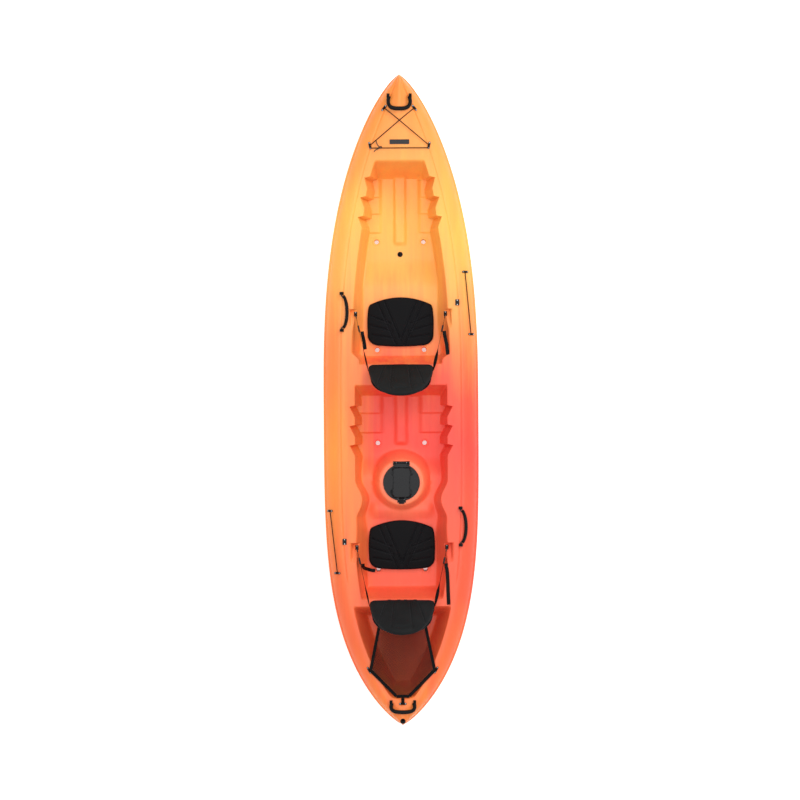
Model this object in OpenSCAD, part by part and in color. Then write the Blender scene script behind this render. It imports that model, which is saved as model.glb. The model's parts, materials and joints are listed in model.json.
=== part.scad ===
// Two-seat sit-on-top kayak.
// +Y runs to the bow, +X to starboard, +Z up; the origin lies under the middle of the hull.

/* [Hull] */
// Length over the tips of the seam flange
hull_len = 3658; // [3040:2:4400]
// Greatest beam over the seam flange
hull_beam = 878; // [860:2:1060]
// Height of the seam above the bottom, amidships
seam_h = 194; // [185:1:235]
// Rise of the seam from amidships to the bow tip
bow_rise = 120; // [90:1:150]
// Rise of the seam from amidships to the stern tip
stern_rise = 92; // [70:1:130]
// Wall of the moulded polyethylene
wall = 4; // [3:0.5:5]
// Width of the pinched seam flange
flange_w = 9; // [7:1:12]
// Thickness of each half of the seam flange
flange_t = 4; // [3:0.5:5]
// Height of the deck shoulder above the flange
shoulder_h = 62; // [50:1:80]
// Distance of the deck crease inboard of the gunwale
crease_inset = 100; // [85:1:120]
// Depth of the hull section at the tips, where the stem is cut off
stem_depth = 34; // [26:1:44]
// Depth of the two tunnels under the hull
tunnel_depth = 24; // [12:1:32]

/* [Cockpits] */
// Width of the side deck beside the wells
side_deck = 160; // [150:1:180]
// Length of the foredeck from the bow tip to the front well
foredeck_len = 484; // [470:2:560]
// Place of the bulkhead behind the front seat
front_bulkhead_y = 203; // [180:1:230]
// Place of the forward rim of the rear well
rear_well_y = 84; // [70:1:100]
// Place of the bulkhead behind the rear seat
rear_bulkhead_y = -1120; // [-1150:1:-1090]
// Place of the forward rim of the tank well
tank_well_y = -1166; // [-1200:1:-1160]
// Length of the afterdeck from the stern tip to the tank well
afterdeck_len = 159; // [150:1:200]
// Height of the footwell floors above the bottom
foot_floor = 75; // [60:1:90]
// Height of the seat floors above the bottom
seat_floor = 120; // [105:1:130]
// Depth of the foot rest notches in the well sides
notch_depth = 30; // [20:1:36]
// Height of the rib along the footwell floor
rib_h = 14; // [8:1:18]

/* [Scuppers] */
// Radius of the scupper bores
scupper_r = 13; // [10:0.5:16]
// Wall of the scupper tubes
scupper_wall = 6; // [4:0.5:8]
// Half the distance between the scuppers of a pair
scupper_x = 134; // [120:1:140]

/* [Hatch] */
// Place of the hatch centre along the hull
hatch_y = -467; // [-490:1:-450]
// Radius of the clear opening
hatch_r = 72; // [60:1:80]
// Radius of the rim flange
hatch_rim_r = 104; // [96:1:110]
// Height of the raised boss that carries the hatch
boss_z = 214; // [190:1:225]
// Depth of the dry bucket under the rim
bucket_depth = 116; // [80:1:130]

/* [Seats] */
// Width of the seat pads
pad_w = 375; // [340:1:390]
// Length of the seat pads
pad_len = 276; // [250:1:290]
// Thickness of the seat pads
pad_t = 26; // [18:1:34]
// Place of the middle of the front seat pad
front_pad_y = 445; // [430:1:450]
// Place of the middle of the rear seat pad
rear_pad_y = -826; // [-835:1:-815]
// Width of the backrests
back_w = 360; // [320:1:372]
// Height of the backrests
back_h = 262; // [230:1:290]
// Thickness of the backrest cushions
cushion_t = 34; // [26:1:42]
// Recline of the backrests from upright
recline = 39; // [32:1:44]

/* [Fittings] */
// Diameter of the shock cord
cord_d = 5; // [4:0.5:6]
// Width of the webbing
web_w = 20; // [16:1:24]
// Thickness of the webbing
web_t = 2; // [1.5:0.1:2.5]
// Radius of the handle grips
grip_r = 9; // [8:0.5:11]
// Length of a handle along its own line
handle_len = 232; // [215:1:250]

/* [Hidden] */
$fn = 32;
half_len = hull_len / 2;
half_beam = hull_beam / 2;
front_well_y = half_len - foredeck_len;
tank_end_y = -half_len + afterdeck_len;
seat_gap = 0.6;      // clearance under each piece that sits on the deck
pad_lift = 3.6;      // the seat pads lie on the scupper collars
end_slope = 3;       // steepness of the well ends
side_slope = 5;      // steepness of the footwell sides
seat_slope = 2.6;    // steepness of the sides beside the seats
rib_half = 37;       // half width of the floor rib
notch_len = 62;      // length of a foot rest notch
notch_pitch = 110;   // distance between the foot rest notches
notch_start = 90;    // distance from the rim to the first notch
ledge_h = 9;         // height of a heel ledge
boss_r = 128;        // radius of the flat top of the hatch boss
pocket_len = 112;    // length of a strap pocket
pocket_d = 50;       // depth of a strap pocket below the side deck
tunnel_x = 205;      // distance of the tunnels from the middle
tunnel_half = 48;    // half width of a tunnel
tube_r = scupper_r + scupper_wall;
weld_gap = 0.5;      // radial gap between a tube and the holes that it passes
front_pocket_y = front_pad_y + 67;
rear_pocket_y = rear_pad_y + 18;
pocket_in = 230;     // inboard edge of the strap pockets
pocket_out = 284;    // outboard edge of the strap pockets

neck_r = hatch_r + 6;    // outside radius of the hatch rim's neck
rim_z = boss_z + seat_gap;
rim_top = rim_z + 5;
lid_z = rim_top + 3;     // underside of the closed lid
lid_t = 5;
hinge_y = hatch_y + hatch_rim_r + 9;
hinge_z = lid_z + 3;
latch_y = hatch_y - hatch_rim_r + 8;
latch_z = lid_z + 5;
plug_neck = 11.5;
foot_plug_y = front_well_y - 511;
drain_y = -half_len + 30;
bow_handle_y = half_len - 127;
stern_handle_y = -half_len + 134;
lace_fore_y = half_len - 192;
lace_aft_y = half_len - 399;
eye_top = 9;             // height of the middle of a pad eye's loop above its base
strap_eye_x = 254;
front_eye_y = front_pad_y + 40;
rear_eye_y = rear_pad_y - 9;

// ---------- general functions ----------
function clamp(v, lo, hi) = min(max(v, lo), hi);
function smooth(t) = let(c = clamp(t, 0, 1)) c * c * (3 - 2 * c);
function bump(t) = let(c = min(abs(t), 1)) pow(1 - c * c, 2);
function soft_min(a, b, k) = let(h = clamp(0.5 + 0.5 * (b - a) / k, 0, 1)) b + (a - b) * h - k * h * (1 - h);
function soft_max(a, b, k) = -soft_min(-a, -b, k);
function flip(list) = [for (i = [len(list) - 1 : -1 : 0]) list[i]];
function sorted(list) = len(list) < 2 ? list : let(
    mid = list[floor(len(list) / 2)],
    low = [for (v = list) if (v < mid) v],
    same = [for (v = list) if (v == mid) v],
    high = [for (v = list) if (v > mid) v])
    concat(sorted(low), same, sorted(high));
// keeps the values of a sorted list that lie at least `gap` apart, and its last one
function spaced(list, gap) = [for (i = 0, kept = list[0], use = true; i < len(list);
    i = i + 1,
    use = i < len(list) && (list[i] - kept >= gap || i == len(list) - 1),
    kept = use ? list[i] : kept) if (use) list[i]];

// ---------- shape of the hull ----------
// half width at the gunwale: a rounded power curve that comes to a point at each tip
function curve_half(y) = let(
    s = min(abs(y) / half_len, 1),
    full = y > 0 ? 2.6 : 4,
    tip = y > 0 ? 0.76 : 0.8)
    max(12, half_beam * pow(1 - pow(s, full), tip));
function curve_seam(y) = seam_h + (y > 0 ? bow_rise : stern_rise) * pow(min(abs(y) / half_len, 1), 2.6);
tip_steps = [0, 7, 22, 50, 90];
hull_rows = spaced(sorted(concat([for (i = [-13 : 13]) i * half_len / 14],
    [for (d = tip_steps) half_len - d], [for (d = tip_steps) d - half_len])), 5);
half_table = [for (y = hull_rows) [y, curve_half(y)]];
seam_table = [for (y = hull_rows) [y, curve_seam(y)]];
// straight between the hull stations, so that deck and hull meet along the seam
function half_width(y) = lookup(y, half_table);
function seam_z(y) = lookup(y, seam_table);
function keel_z(y) = let(v = clamp((abs(y) / half_len - 0.55) / 0.45, 0, 1))
    (seam_z(y) - stem_depth) * (0.2 * pow(v, 3) + 0.8 * (1 - sqrt(1 - pow(v, 8))));
function flange(y) = min(flange_w, 0.35 * half_width(y));
function crease_in(y) = let(h = half_width(y)) min(crease_inset * (1 - exp(-h / 110)), 0.75 * h);

// rim of the wells: the side deck is a little narrower forward and pinched in beside the hatch
function front_half(y) = half_width(y) - side_deck + 20 * smooth((y - front_well_y + 400) / 300)
    - 44 * smooth((front_pad_y - 172 - y) / 50);
function rear_half(y) = half_width(y) - side_deck - 18 * smooth((y + 900) / 200)
    - 36 * bump((y - hatch_y + 95) / 110);
function tank_half(y) = half_width(y) - crease_inset - 6;
function notch(y, y0) = let(d = y0 - y)
    d < -4 || d > notch_len ? 0 : d < 3 ? notch_depth * (d + 4) / 7 : notch_depth * (1 - (d - 3) / (notch_len - 3));
function notches(y, rim) = max([for (k = [0 : 2]) notch(y, rim - notch_start - k * notch_pitch)]);

// deck without its wells: flange, rounded shoulder, flat side deck and crowned ends
function plateau(x, y) = let(
    h = half_width(y), fl = flange(y), ci = crease_in(y),
    v = clamp((h - abs(x) - fl) / max(ci - fl, 0.1), 0, 1),
    ends = smooth((y - front_well_y) / 150) + smooth((tank_end_y - y) / 60),
    crown = 15 * ends * (1 - pow(min(abs(x) / max(h - ci, 1), 1), 2)) * smooth(h / 60))
    seam_z(y) + flange_t + shoulder_h * pow(sin(90 * v), 0.7) * smooth(h / 50 + 0.3) + crown;

// floors, measured up from the bottom of the hull
function heel_ledge(x, y, y0) = ledge_h * smooth((y - y0) / 8 + 0.5) * smooth((abs(x) - 100) / 22);
function rib(x, y, y_end) = rib_h * smooth((rib_half - abs(x)) / 12) * smooth((y - y_end) / 26);
function front_floor(x, y) = let(
    base = seat_floor + (foot_floor - seat_floor) * smooth((y - front_pad_y - 185) / 190))
    base + heel_ledge(x, y, front_well_y - 388) + heel_ledge(x, y, front_well_y - 281)
    + heel_ledge(x, y, front_well_y - 186) + rib(x, y, front_well_y - 465);
function rear_floor(x, y) = let(
    base = seat_floor + (foot_floor - seat_floor) * smooth((y - hatch_y - 10) / 150),
    saddle = 16 * bump((y - rear_pad_y - 206) / 66) * smooth((200 - abs(x)) / 60),
    r = norm([x, y - hatch_y]))
    soft_max(base + saddle + heel_ledge(x, y, rear_well_y - 159) + heel_ledge(x, y, rear_well_y - 270)
        + rib(x, y, rear_well_y - 346), boss_z - 2.6 * soft_max(r - boss_r, 0, 6), 10);

// one well: its sides fall from the rim at their own steepness down to its floor
function well(top, floor_z, half, x, y, y_fore, y_aft, slope) = let(
    side = slope * (half - abs(x)),
    ends = soft_min(end_slope * (y_fore - y), end_slope * (y - y_aft), 20),
    fall = soft_min(side, ends, 36))
    soft_max(floor_z, top - soft_max(fall, 0, 10), 16);
function slope_at(y, pad_y) = side_slope + (seat_slope - side_slope) * bump((y - pad_y) / 420);
function pocket(top, z, x, y, y0) =
    abs(x) < pocket_in || abs(x) > pocket_out || y > y0 || y < y0 - pocket_len ? z
    : min(z, top - pocket_d * (1 - (y0 - y) / pocket_len));

function deck_top(x, y) = let(top = plateau(x, y))
    y > (front_bulkhead_y + rear_well_y) / 2 ?
        pocket(top, well(top, front_floor(x, y), front_half(y) + notches(y, front_well_y), x, y,
            front_well_y, front_bulkhead_y, slope_at(y, front_pad_y)), x, y, front_pocket_y)
    : y > (rear_bulkhead_y + tank_well_y) / 2 ?
        pocket(top, well(top, rear_floor(x, y), rear_half(y) + notches(y, rear_well_y - 28), x, y,
            rear_well_y, rear_bulkhead_y, slope_at(y, rear_pad_y)), x, y, rear_pocket_y)
    : well(top, seat_floor, tank_half(y), x, y, tank_well_y, tank_end_y, end_slope);
function deck_slope_x(x, y) = (deck_top(x + 4, y) - deck_top(x - 4, y)) / 8;
function deck_slope_y(x, y) = (deck_top(x, y + 4) - deck_top(x, y - 4)) / 8;
function deck_under(x, y) = let(
    gx = deck_slope_x(x, y), gy = deck_slope_y(x, y),
    z = deck_top(x, y) - wall * min(sqrt(1 + gx * gx + gy * gy), 4))
    abs(x) > half_width(y) - flange(y) - 0.5 ? seam_z(y) + 0.2
    : abs(x) > half_width(y) - crease_in(y) - 4 || abs(y) > half_len - 100 ? max(seam_z(y) + 0.2, z) : z;

// bottom: rounded sections, boxy amidships and V-shaped at the ends, with two tunnels
function hull_point(y, a) = let(
    h = half_width(y) - flange(y),
    ends = smooth((abs(y) / half_len - 0.55) / 0.45),
    n = 3 - 1.4 * ends,
    top = seam_z(y) - flange_t,
    keel = keel_z(y),
    x = h * pow(max(cos(a), 0), 2 / n),
    z = soft_max(top - (top - keel) * (1.07 - 0.07 * ends) * pow(max(sin(a), 0), 2 / n), keel, 10 * (1 - ends) + 0.01),
    mid = 1 - smooth((abs(y) - 0.42 * half_len) / (0.2 * half_len)),
    tunnel = tunnel_depth * mid * bump((x - tunnel_x * half_beam / 439) / tunnel_half))
    [x, z + tunnel];

// ---------- stations and surfaces ----------
notch_rows = [for (rim = [front_well_y, rear_well_y - 28], k = [0 : 2], d = [-4, 3])
    rim - notch_start - k * notch_pitch - d];
rim_rows = [for (y = [front_well_y, front_bulkhead_y, rear_well_y, rear_bulkhead_y, tank_well_y, tank_end_y]) y];
foot_rows = [front_bulkhead_y + 47, rear_well_y - 62, rear_bulkhead_y + 55, tank_well_y - 56, tank_end_y + 70];
pocket_rows = [for (y = [front_pocket_y, rear_pocket_y], d = [-3, 3]) y + d];
scupper_rows = [
    [front_well_y - 439, foot_floor],
    [front_pad_y - 158, seat_floor],
    [rear_well_y - 330, foot_floor],
    [rear_pad_y - 139, seat_floor]];
floor_rows = concat(
    [for (d = [393, 382, 286, 276, 191, 181, 465, 437]) front_well_y - d],
    [for (d = [164, 153, 275, 264, 346, 318]) rear_well_y - d],
    [for (q = scupper_rows, d = [-27, 27]) q[0] + d],
    [foot_plug_y - 20, foot_plug_y + 20, front_pad_y + 185, front_pad_y + 255, rear_pad_y + 142],
    [for (d = [136, 98, 50, 0, -50, -98, -136, -166]) hatch_y + d],
    [rear_bulkhead_y + 100, tank_well_y - 180, tank_end_y + 180]);
deck_rows = spaced(sorted(concat(
    hull_rows, floor_rows,
    notch_rows, rim_rows, foot_rows, pocket_rows,
    [front_pocket_y - pocket_len, rear_pocket_y - pocket_len])), 5.6);
function well_rim(y) = let(flat = half_width(y) - crease_in(y))
    clamp(y > (front_bulkhead_y + rear_well_y) / 2 ? front_half(y)
        : y > (rear_bulkhead_y + tank_well_y) / 2 ? rear_half(y) : tank_half(y), 0.45 * flat, flat - 8);
// where the side of a well meets its floor
function wall_foot(y) = let(rim = well_rim(y), top = plateau(rim, y),
    fore = smooth((y - front_pad_y - 185) / 190), mid = smooth((y - hatch_y - 10) / 150))
    max(0.5 * rim, y > (front_bulkhead_y + rear_well_y) / 2 ?
        rim - (top - lerp(seat_floor, foot_floor, fore)) / slope_at(y, front_pad_y)
        : y > (rear_bulkhead_y + tank_well_y) / 2 ?
        rim - (top - lerp(seat_floor, foot_floor, mid)) / slope_at(y, rear_pad_y)
        : rim - (top - seat_floor) / end_slope);
// places across the deck where its surface is drawn, from the gunwale to the middle
function deck_columns(y) = let(
    h = half_width(y), fl = flange(y), ci = crease_in(y), flat = h - ci, rim = well_rim(y), foot = wall_foot(y))
    concat([h, h - fl, h - fl - (ci - fl) * 0.18, h - fl - (ci - fl) * 0.5, h - ci],
    flat < 60 ? [for (k = [9 : -1 : 0]) flat * k / 10] :
    [rim + (flat - rim) * 0.3, rim - 2, (rim + foot) / 2,
     foot + min(2, 0.1 * (rim - foot)), max(foot - 9, 0.88 * foot),
     min(foot * 0.75, 122), min(foot * 0.6, 98), min(foot * 0.3, 37), min(foot * 0.2, 24), 0]);
function both_sides(right) = concat(right, [for (i = [len(right) - 2 : -1 : 0]) -right[i]]);

// closed skin between two grids of the same size: rows run aft to forward, columns starboard to port
module skin(upper, lower) {
    rows = len(upper);
    cols = len(upper[0]);
    n = rows * cols;
    function at(i, j, low) = i * cols + j + (low ? n : 0);
    points = concat([for (r = upper) each r], [for (r = lower) each r]);
    faces = concat(
        [for (i = [0 : rows - 2], j = [0 : cols - 2]) each [
            [at(i, j, false), at(i, j + 1, false), at(i + 1, j + 1, false)],
            [at(i, j, false), at(i + 1, j + 1, false), at(i + 1, j, false)],
            [at(i, j, true), at(i + 1, j + 1, true), at(i, j + 1, true)],
            [at(i, j, true), at(i + 1, j, true), at(i + 1, j + 1, true)]]],
        [for (i = [0 : rows - 2]) each [
            [at(i, 0, false), at(i + 1, 0, true), at(i, 0, true)],
            [at(i, 0, false), at(i + 1, 0, false), at(i + 1, 0, true)],
            [at(i, cols - 1, false), at(i, cols - 1, true), at(i + 1, cols - 1, true)],
            [at(i, cols - 1, false), at(i + 1, cols - 1, true), at(i + 1, cols - 1, false)]]],
        [for (j = [0 : cols - 2]) each [
            [at(0, j, false), at(0, j, true), at(0, j + 1, true)],
            [at(0, j, false), at(0, j + 1, true), at(0, j + 1, false)],
            [at(rows - 1, j, false), at(rows - 1, j + 1, true), at(rows - 1, j, true)],
            [at(rows - 1, j, false), at(rows - 1, j + 1, false), at(rows - 1, j + 1, true)]]]);
    polyhedron(points, faces, convexity = 12);
}

module each_scupper() {
    for (s = scupper_rows, side = [-1, 1]) translate([side * scupper_x, s[0], 0]) children();
}

// The deck is drawn in bands along the boat, which meet at hairline joints.
deck_splits = [-half_len - 1, (rear_bulkhead_y + tank_well_y) / 2, hatch_y - 188, hatch_y, hatch_y + 175,
    (front_bulkhead_y + rear_well_y) / 2, front_pad_y + 195, front_well_y - 317, front_well_y - 10, half_len + 1];
function band_rows(k) = let(lo = deck_splits[k] + 0.15, hi = deck_splits[k + 1] - 0.15)
    concat([for (y = [lo]) if (y > -half_len) y],
        [for (y = deck_rows) if (y > lo + 2.5 && y < hi - 2.5 || abs(y) > half_len - 4) if (y > lo && y < hi) y],
        [for (y = [hi]) if (y < half_len) y]);
module deck_band(k) {
    rows = band_rows(k);
    skin([for (y = rows) [for (x = both_sides(deck_columns(y))) [x, y, deck_top(x, y)]]],
        [for (y = rows) [for (x = both_sides(deck_columns(y))) [x, y, deck_under(x, y)]]]);
}
module deck_bands(first, last) {
    color("darkorange") difference() {
        for (k = [first : last]) deck_band(k);
        each_scupper() cylinder(r = tube_r + weld_gap, h = seat_floor + 60);
        translate([0, hatch_y, boss_z - 60]) cylinder(r = neck_r + weld_gap, h = 120, $fn = 48);
        translate([0, foot_plug_y, foot_floor - 20]) cylinder(r = plug_neck + weld_gap, h = 60);
        translate([0, drain_y, deck_top(0, drain_y) - 30]) cylinder(r = plug_neck + weld_gap, h = 60);
    }
}
module aft_deck_moulding() {
    deck_bands(0, 4);
}
module fore_deck_moulding() {
    deck_bands(5, 8);
}

function hull_angles() = [0, 8, 19, 32, 45, 57, 66, 72, 77, 81.5, 86, 90];
function hull_outer(y) = let(h = half_width(y), z = seam_z(y))
    concat([[h, z], [h, z - flange_t]], [for (a = hull_angles()) hull_point(y, a)]);
function hull_inner(y) = let(h = half_width(y) - flange(y), z = seam_z(y), d = z - keel_z(y),
    kx = max(1 - wall / h, 0.4), kz = max(1 - wall / d, 0.5))
    concat([[h * kx + 0.2, z], [h * kx + 0.1, z - flange_t / 2]],
        [for (a = hull_angles()) let(p = hull_point(y, a)) [p[0] * kx, z - flange_t - (z - flange_t - p[1]) * kz]]);
function section(half, y) = let(n = len(half))
    [for (i = [0 : 2 * n - 2]) i < n ? [half[i][0], y, half[i][1]] : [-half[2 * n - 2 - i][0], y, half[2 * n - 2 - i][1]]];
module hull_moulding() {
    color("darkorange") difference() {
        skin([for (y = hull_rows) section(hull_inner(y), y)], [for (y = hull_rows) section(hull_outer(y), y)]);
        each_scupper() translate([0, 0, -10]) cylinder(r = tube_r + weld_gap, h = 60);
    }
}

// ---------- small shared shapes ----------
function lerp(a, b, t) = a + (b - a) * t;
function unit(v) = v / norm(v);
function at_deck(x, y, up) = [x, y, deck_top(x, y) + up];
// a run of cord between two points, lifted over the deck wherever the straight line would touch it
function run(a, b, n, lift) = [for (i = [0 : n]) let(p = lerp(a, b, i / n))
    [p[0], p[1], max(p[2], deck_top(p[0], p[1]) + cord_d / 2 + lift)]];

// round tube through a list of points
module tube(points, r, sides) {
    n = len(points);
    rings = [for (i = [0 : n - 1]) let(
        t = unit(points[min(i + 1, n - 1)] - points[max(i - 1, 0)]),
        s = unit(cross(t, abs(t[2]) > 0.9 ? [1, 0, 0] : [0, 0, 1])),
        u = cross(s, t))
        [for (k = [0 : sides - 1]) let(a = k * 360 / sides) points[i] + r * (cos(a) * s + sin(a) * u)]];
    polyhedron(concat([for (g = rings) each g], [points[0], points[n - 1]]), concat(
        [for (i = [0 : n - 2], k = [0 : sides - 1]) let(a = i * sides + k, b = i * sides + (k + 1) % sides)
            each [[a, b, b + sides], [a, b + sides, a + sides]]],
        [for (k = [0 : sides - 1]) [n * sides, (k + 1) % sides, k]],
        [for (k = [0 : sides - 1]) [n * sides + 1, (n - 1) * sides + k, (n - 1) * sides + (k + 1) % sides]]),
        convexity = 6);
}

// places children with local X along the line from a to b
module along(a, b) {
    d = b - a;
    translate(a) rotate([0, -asin(d[2] / norm(d)), atan2(d[1], d[0])]) children();
}

// pad eye: oval base with a bail; the bail stands in the local XZ plane
module pad_eye() {
    difference() {
        hull() for (e = [-1, 1]) translate([e * 15, 0, 0]) cylinder(r = 6, h = 3, $fn = 20);
        for (e = [-1, 1]) translate([e * 15, 0, -1]) cylinder(r = 2.3, h = 6, $fn = 20);
    }
    translate([0, 0, 2.8]) rotate([90, 0, 0]) rotate_extrude(angle = 180, $fn = 24)
        translate([8.4, 0]) circle(r = 2, $fn = 14);
}
module pad_eye_screw_pair() {
    for (e = [-1, 1]) translate([e * 15, 0, 0.2]) screw(3);
}
// pan-head screw whose shank stands in a plate of the given thickness
module screw(plate) {
    cylinder(r = 1.9, h = plate, $fn = 16);
    translate([0, 0, plate]) cylinder(r1 = 4, r2 = 2.6, h = 2, $fn = 20);
}

// places a fitting flat on the deck, turned to the given heading
module on_deck(x, y, heading) {
    sx = deck_slope_x(x, y);
    sy = deck_slope_y(x, y);
    translate([x, y, deck_top(x, y) + seat_gap + 1.2])
        rotate([atan(sy), -atan(sx), 0]) rotate([0, 0, heading]) children();
}

// ---------- scuppers, plugs and foam ----------
module scupper_tubes() {
    color("darkorange") for (s = scupper_rows, side = [-1, 1]) translate([side * scupper_x, s[0], 0])
        difference() {
            union() {
                translate([0, 0, 0.6]) cylinder(r = tube_r, h = s[1] + 1.4);
                translate([0, 0, s[1] + seat_gap]) cylinder(r1 = tube_r + 5, r2 = tube_r + 3, h = 2.4);
            }
            translate([0, 0, -5]) cylinder(r = scupper_r, h = 200);
        }
}
module foam_block(y0, len, half, z0, z1) {
    translate([-half, y0, z0]) cube([2 * half, len, z1 - z0]);
}
module foam_blocks() {
    color("whitesmoke") {
        foam_block(front_well_y + 40, 150, 45, 90, seam_h + 70);
        foam_block(rear_pad_y - 130, 260, 70, wall + 6, seat_floor - 3 * wall);
    }
}
module plug_insert() {
    difference() {
        union() {
            cylinder(r = 15, h = 2.4);
            translate([0, 0, -12]) cylinder(r = plug_neck, h = 14);
        }
        translate([0, 0, -20]) cylinder(r = 8.5, h = 30);
    }
}
module plug_inserts() {
    color("dimgray") {
        translate([0, drain_y, deck_top(0, drain_y) + seat_gap]) plug_insert();
        translate([0, foot_plug_y, foot_floor + seat_gap]) plug_insert();
    }
}
module plug() {
    translate([0, 0, 2.8]) cylinder(r1 = 14, r2 = 12.5, h = 4);
    translate([0, 0, -9]) cylinder(r = 8.1, h = 12);
    translate([-9, -1.6, 6]) cube([18, 3.2, 4]);
}
module stern_drain_plug() {
    color("black") translate([0, drain_y, deck_top(0, drain_y) + seat_gap]) plug();
}
module footwell_plug() {
    color("black") translate([0, foot_plug_y, foot_floor + seat_gap]) plug();
}

// ---------- hatch ----------
module hatch_rim() {
    color("black") difference() {
        union() {
            translate([0, hatch_y, rim_z]) cylinder(r = hatch_rim_r, h = rim_top - rim_z, $fn = 64);
            translate([0, hatch_y, rim_z - 24]) cylinder(r = neck_r, h = 25, $fn = 48);
            for (e = [-1, 1]) translate([e * 38 - 9, hatch_y + hatch_rim_r - 8, rim_z])
                cube([18, 24, rim_top - rim_z]);
            for (e = [-1, 1]) translate([e * 38 - 8, hinge_y, hinge_z]) rotate([0, 90, 0])
                cylinder(r = 6.5, h = 16, $fn = 24);
            for (e = [-1, 1]) translate([e * 38 - 8, hinge_y - 6.5, rim_top - 1]) cube([16, 13, 7]);
            translate([-24, latch_y - 18, rim_z]) cube([48, 16, rim_top - rim_z]);
        }
        translate([0, hatch_y, rim_z - 40]) cylinder(r = hatch_r, h = 80, $fn = 48);
        translate([-60, hinge_y, hinge_z]) rotate([0, 90, 0]) cylinder(r = 3.05, h = 120, $fn = 24);
        for (k = [0 : 5]) rotate_hatch(k * 60 + 30) translate([99, 0, rim_z - 1]) cylinder(r = 2.2, h = 9, $fn = 16);
    }
}
module rotate_hatch(a) {
    translate([0, hatch_y, 0]) rotate([0, 0, a]) children();
}
module hatch_screws() {
    color("silver") for (k = [0 : 5]) rotate_hatch(k * 60 + 30) translate([99, 0, rim_z + 0.4]) {
        cylinder(r = 1.9, h = rim_top - rim_z - 0.2, $fn = 16);
        translate([0, 0, rim_top - rim_z - 0.2]) cylinder(r1 = 3.6, r2 = 2.4, h = 1.8, $fn = 20);
    }
}
module hatch_gasket() {
    color("dimgray") translate([0, hatch_y, rim_top + 0.1]) difference() {
        cylinder(r = 93, h = 2.6, $fn = 64);
        translate([0, 0, -1]) cylinder(r = 87, h = 5, $fn = 64);
    }
}
module hatch_bucket() {
    color("dimgray") translate([0, hatch_y, 0]) difference() {
        union() {
            translate([0, 0, rim_top - bucket_depth]) cylinder(r = hatch_r - 1, h = bucket_depth + 1, $fn = 48);
            translate([0, 0, rim_top + 0.2]) cylinder(r = hatch_r + 9, h = 1.6, $fn = 48);
        }
        translate([0, 0, rim_top - bucket_depth + 2]) cylinder(r = hatch_r - 3, h = bucket_depth + 4, $fn = 48);
    }
}
module hatch_lid() {
    color("black") difference() {
        union() {
            translate([0, hatch_y, lid_z]) cylinder(r = hatch_rim_r - 3, h = lid_t, $fn = 64);
            translate([0, hatch_y, lid_z + lid_t]) cylinder(r1 = hatch_rim_r - 8, r2 = 62, h = 7, $fn = 64);
            intersection() {
                translate([-50, hatch_y - 84, lid_z + 2]) cube([100, 168, 14]);
                translate([0, hatch_y, lid_z]) cylinder(r1 = hatch_rim_r - 4, r2 = 80, h = 18, $fn = 64);
            }
            translate([0, hinge_y, hinge_z]) rotate([0, 90, 0]) cylinder(r = 6.5, h = 56, center = true, $fn = 24);
            translate([-28, hatch_y + 82, lid_z + 0.4]) cube([56, hinge_y - hatch_y - 82, 5]);
            for (e = [-1, 1]) translate([e * 20 - 4, latch_y - 4.5, lid_z + 1]) cube([8, 16, 9]);
        }
        translate([-60, hinge_y, hinge_z]) rotate([0, 90, 0]) cylinder(r = 3.05, h = 120, $fn = 24);
        translate([-60, latch_y, latch_z]) rotate([0, 90, 0]) cylinder(r = 2.05, h = 120, $fn = 20);
        translate([-15.5, latch_y - 12, lid_z - 2]) cube([31, 20, 24]);
    }
}
module hatch_hinge_pin() {
    color("silver") translate([0, hinge_y, hinge_z]) rotate([0, 90, 0])
        cylinder(r = 3, h = 94, center = true, $fn = 24);
}
module hatch_latch() {
    color("black") difference() {
        union() {
            translate([0, latch_y, latch_z]) rotate([0, 90, 0]) cylinder(r = 4.4, h = 30, center = true, $fn = 24);
            translate([-15, latch_y - 16, latch_z - 1]) cube([30, 16, 5]);
            translate([-15, latch_y - 20, rim_z]) cube([30, 1.6, latch_z + 4 - rim_z]);
            translate([-15, latch_y - 26, rim_z]) cube([30, 7, 3]);
            translate([-15, latch_y - 20, latch_z - 1]) cube([30, 5, 5]);
        }
        translate([-60, latch_y, latch_z]) rotate([0, 90, 0]) cylinder(r = 2.05, h = 120, $fn = 20);
    }
}
module hatch_latch_pin() {
    color("silver") translate([0, latch_y, latch_z]) rotate([0, 90, 0])
        cylinder(r = 2, h = 47, center = true, $fn = 20);
}

// ---------- seats ----------
pad_corner = 46;     // how far the front corners lie behind the middle of the front edge
function pad_front(x) = pad_len / 2 - pad_corner * pow(abs(x) / (pad_w / 2 - 12), 2);
module pad_outline(inset) {
    offset(r = 8, $fn = 24) offset(delta = -8 - inset) union() {
        hull() {
            for (e = [-1, 1]) {
                translate([e * (pad_w / 2 - 49), -pad_len / 2 + 45]) circle(r = 45);
                translate([e * (pad_w / 2 - 30), 0]) circle(r = 30);
            }
            polygon([for (i = [-10 : 10]) let(x = i / 10 * (pad_w / 2 - 12)) [x, pad_front(x)]]);
        }
    }
}
module seat_pad(y, z) {
    color("black") translate([0, y, z]) hull() {
        linear_extrude(pad_t) pad_outline(9);
        translate([0, 0, 5]) linear_extrude(pad_t - 11) pad_outline(0);
    }
}
module front_seat_pad() {
    seat_pad(front_pad_y, seat_floor + pad_lift);
}
module rear_seat_pad() {
    seat_pad(rear_pad_y, seat_floor + pad_lift);
}

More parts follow.
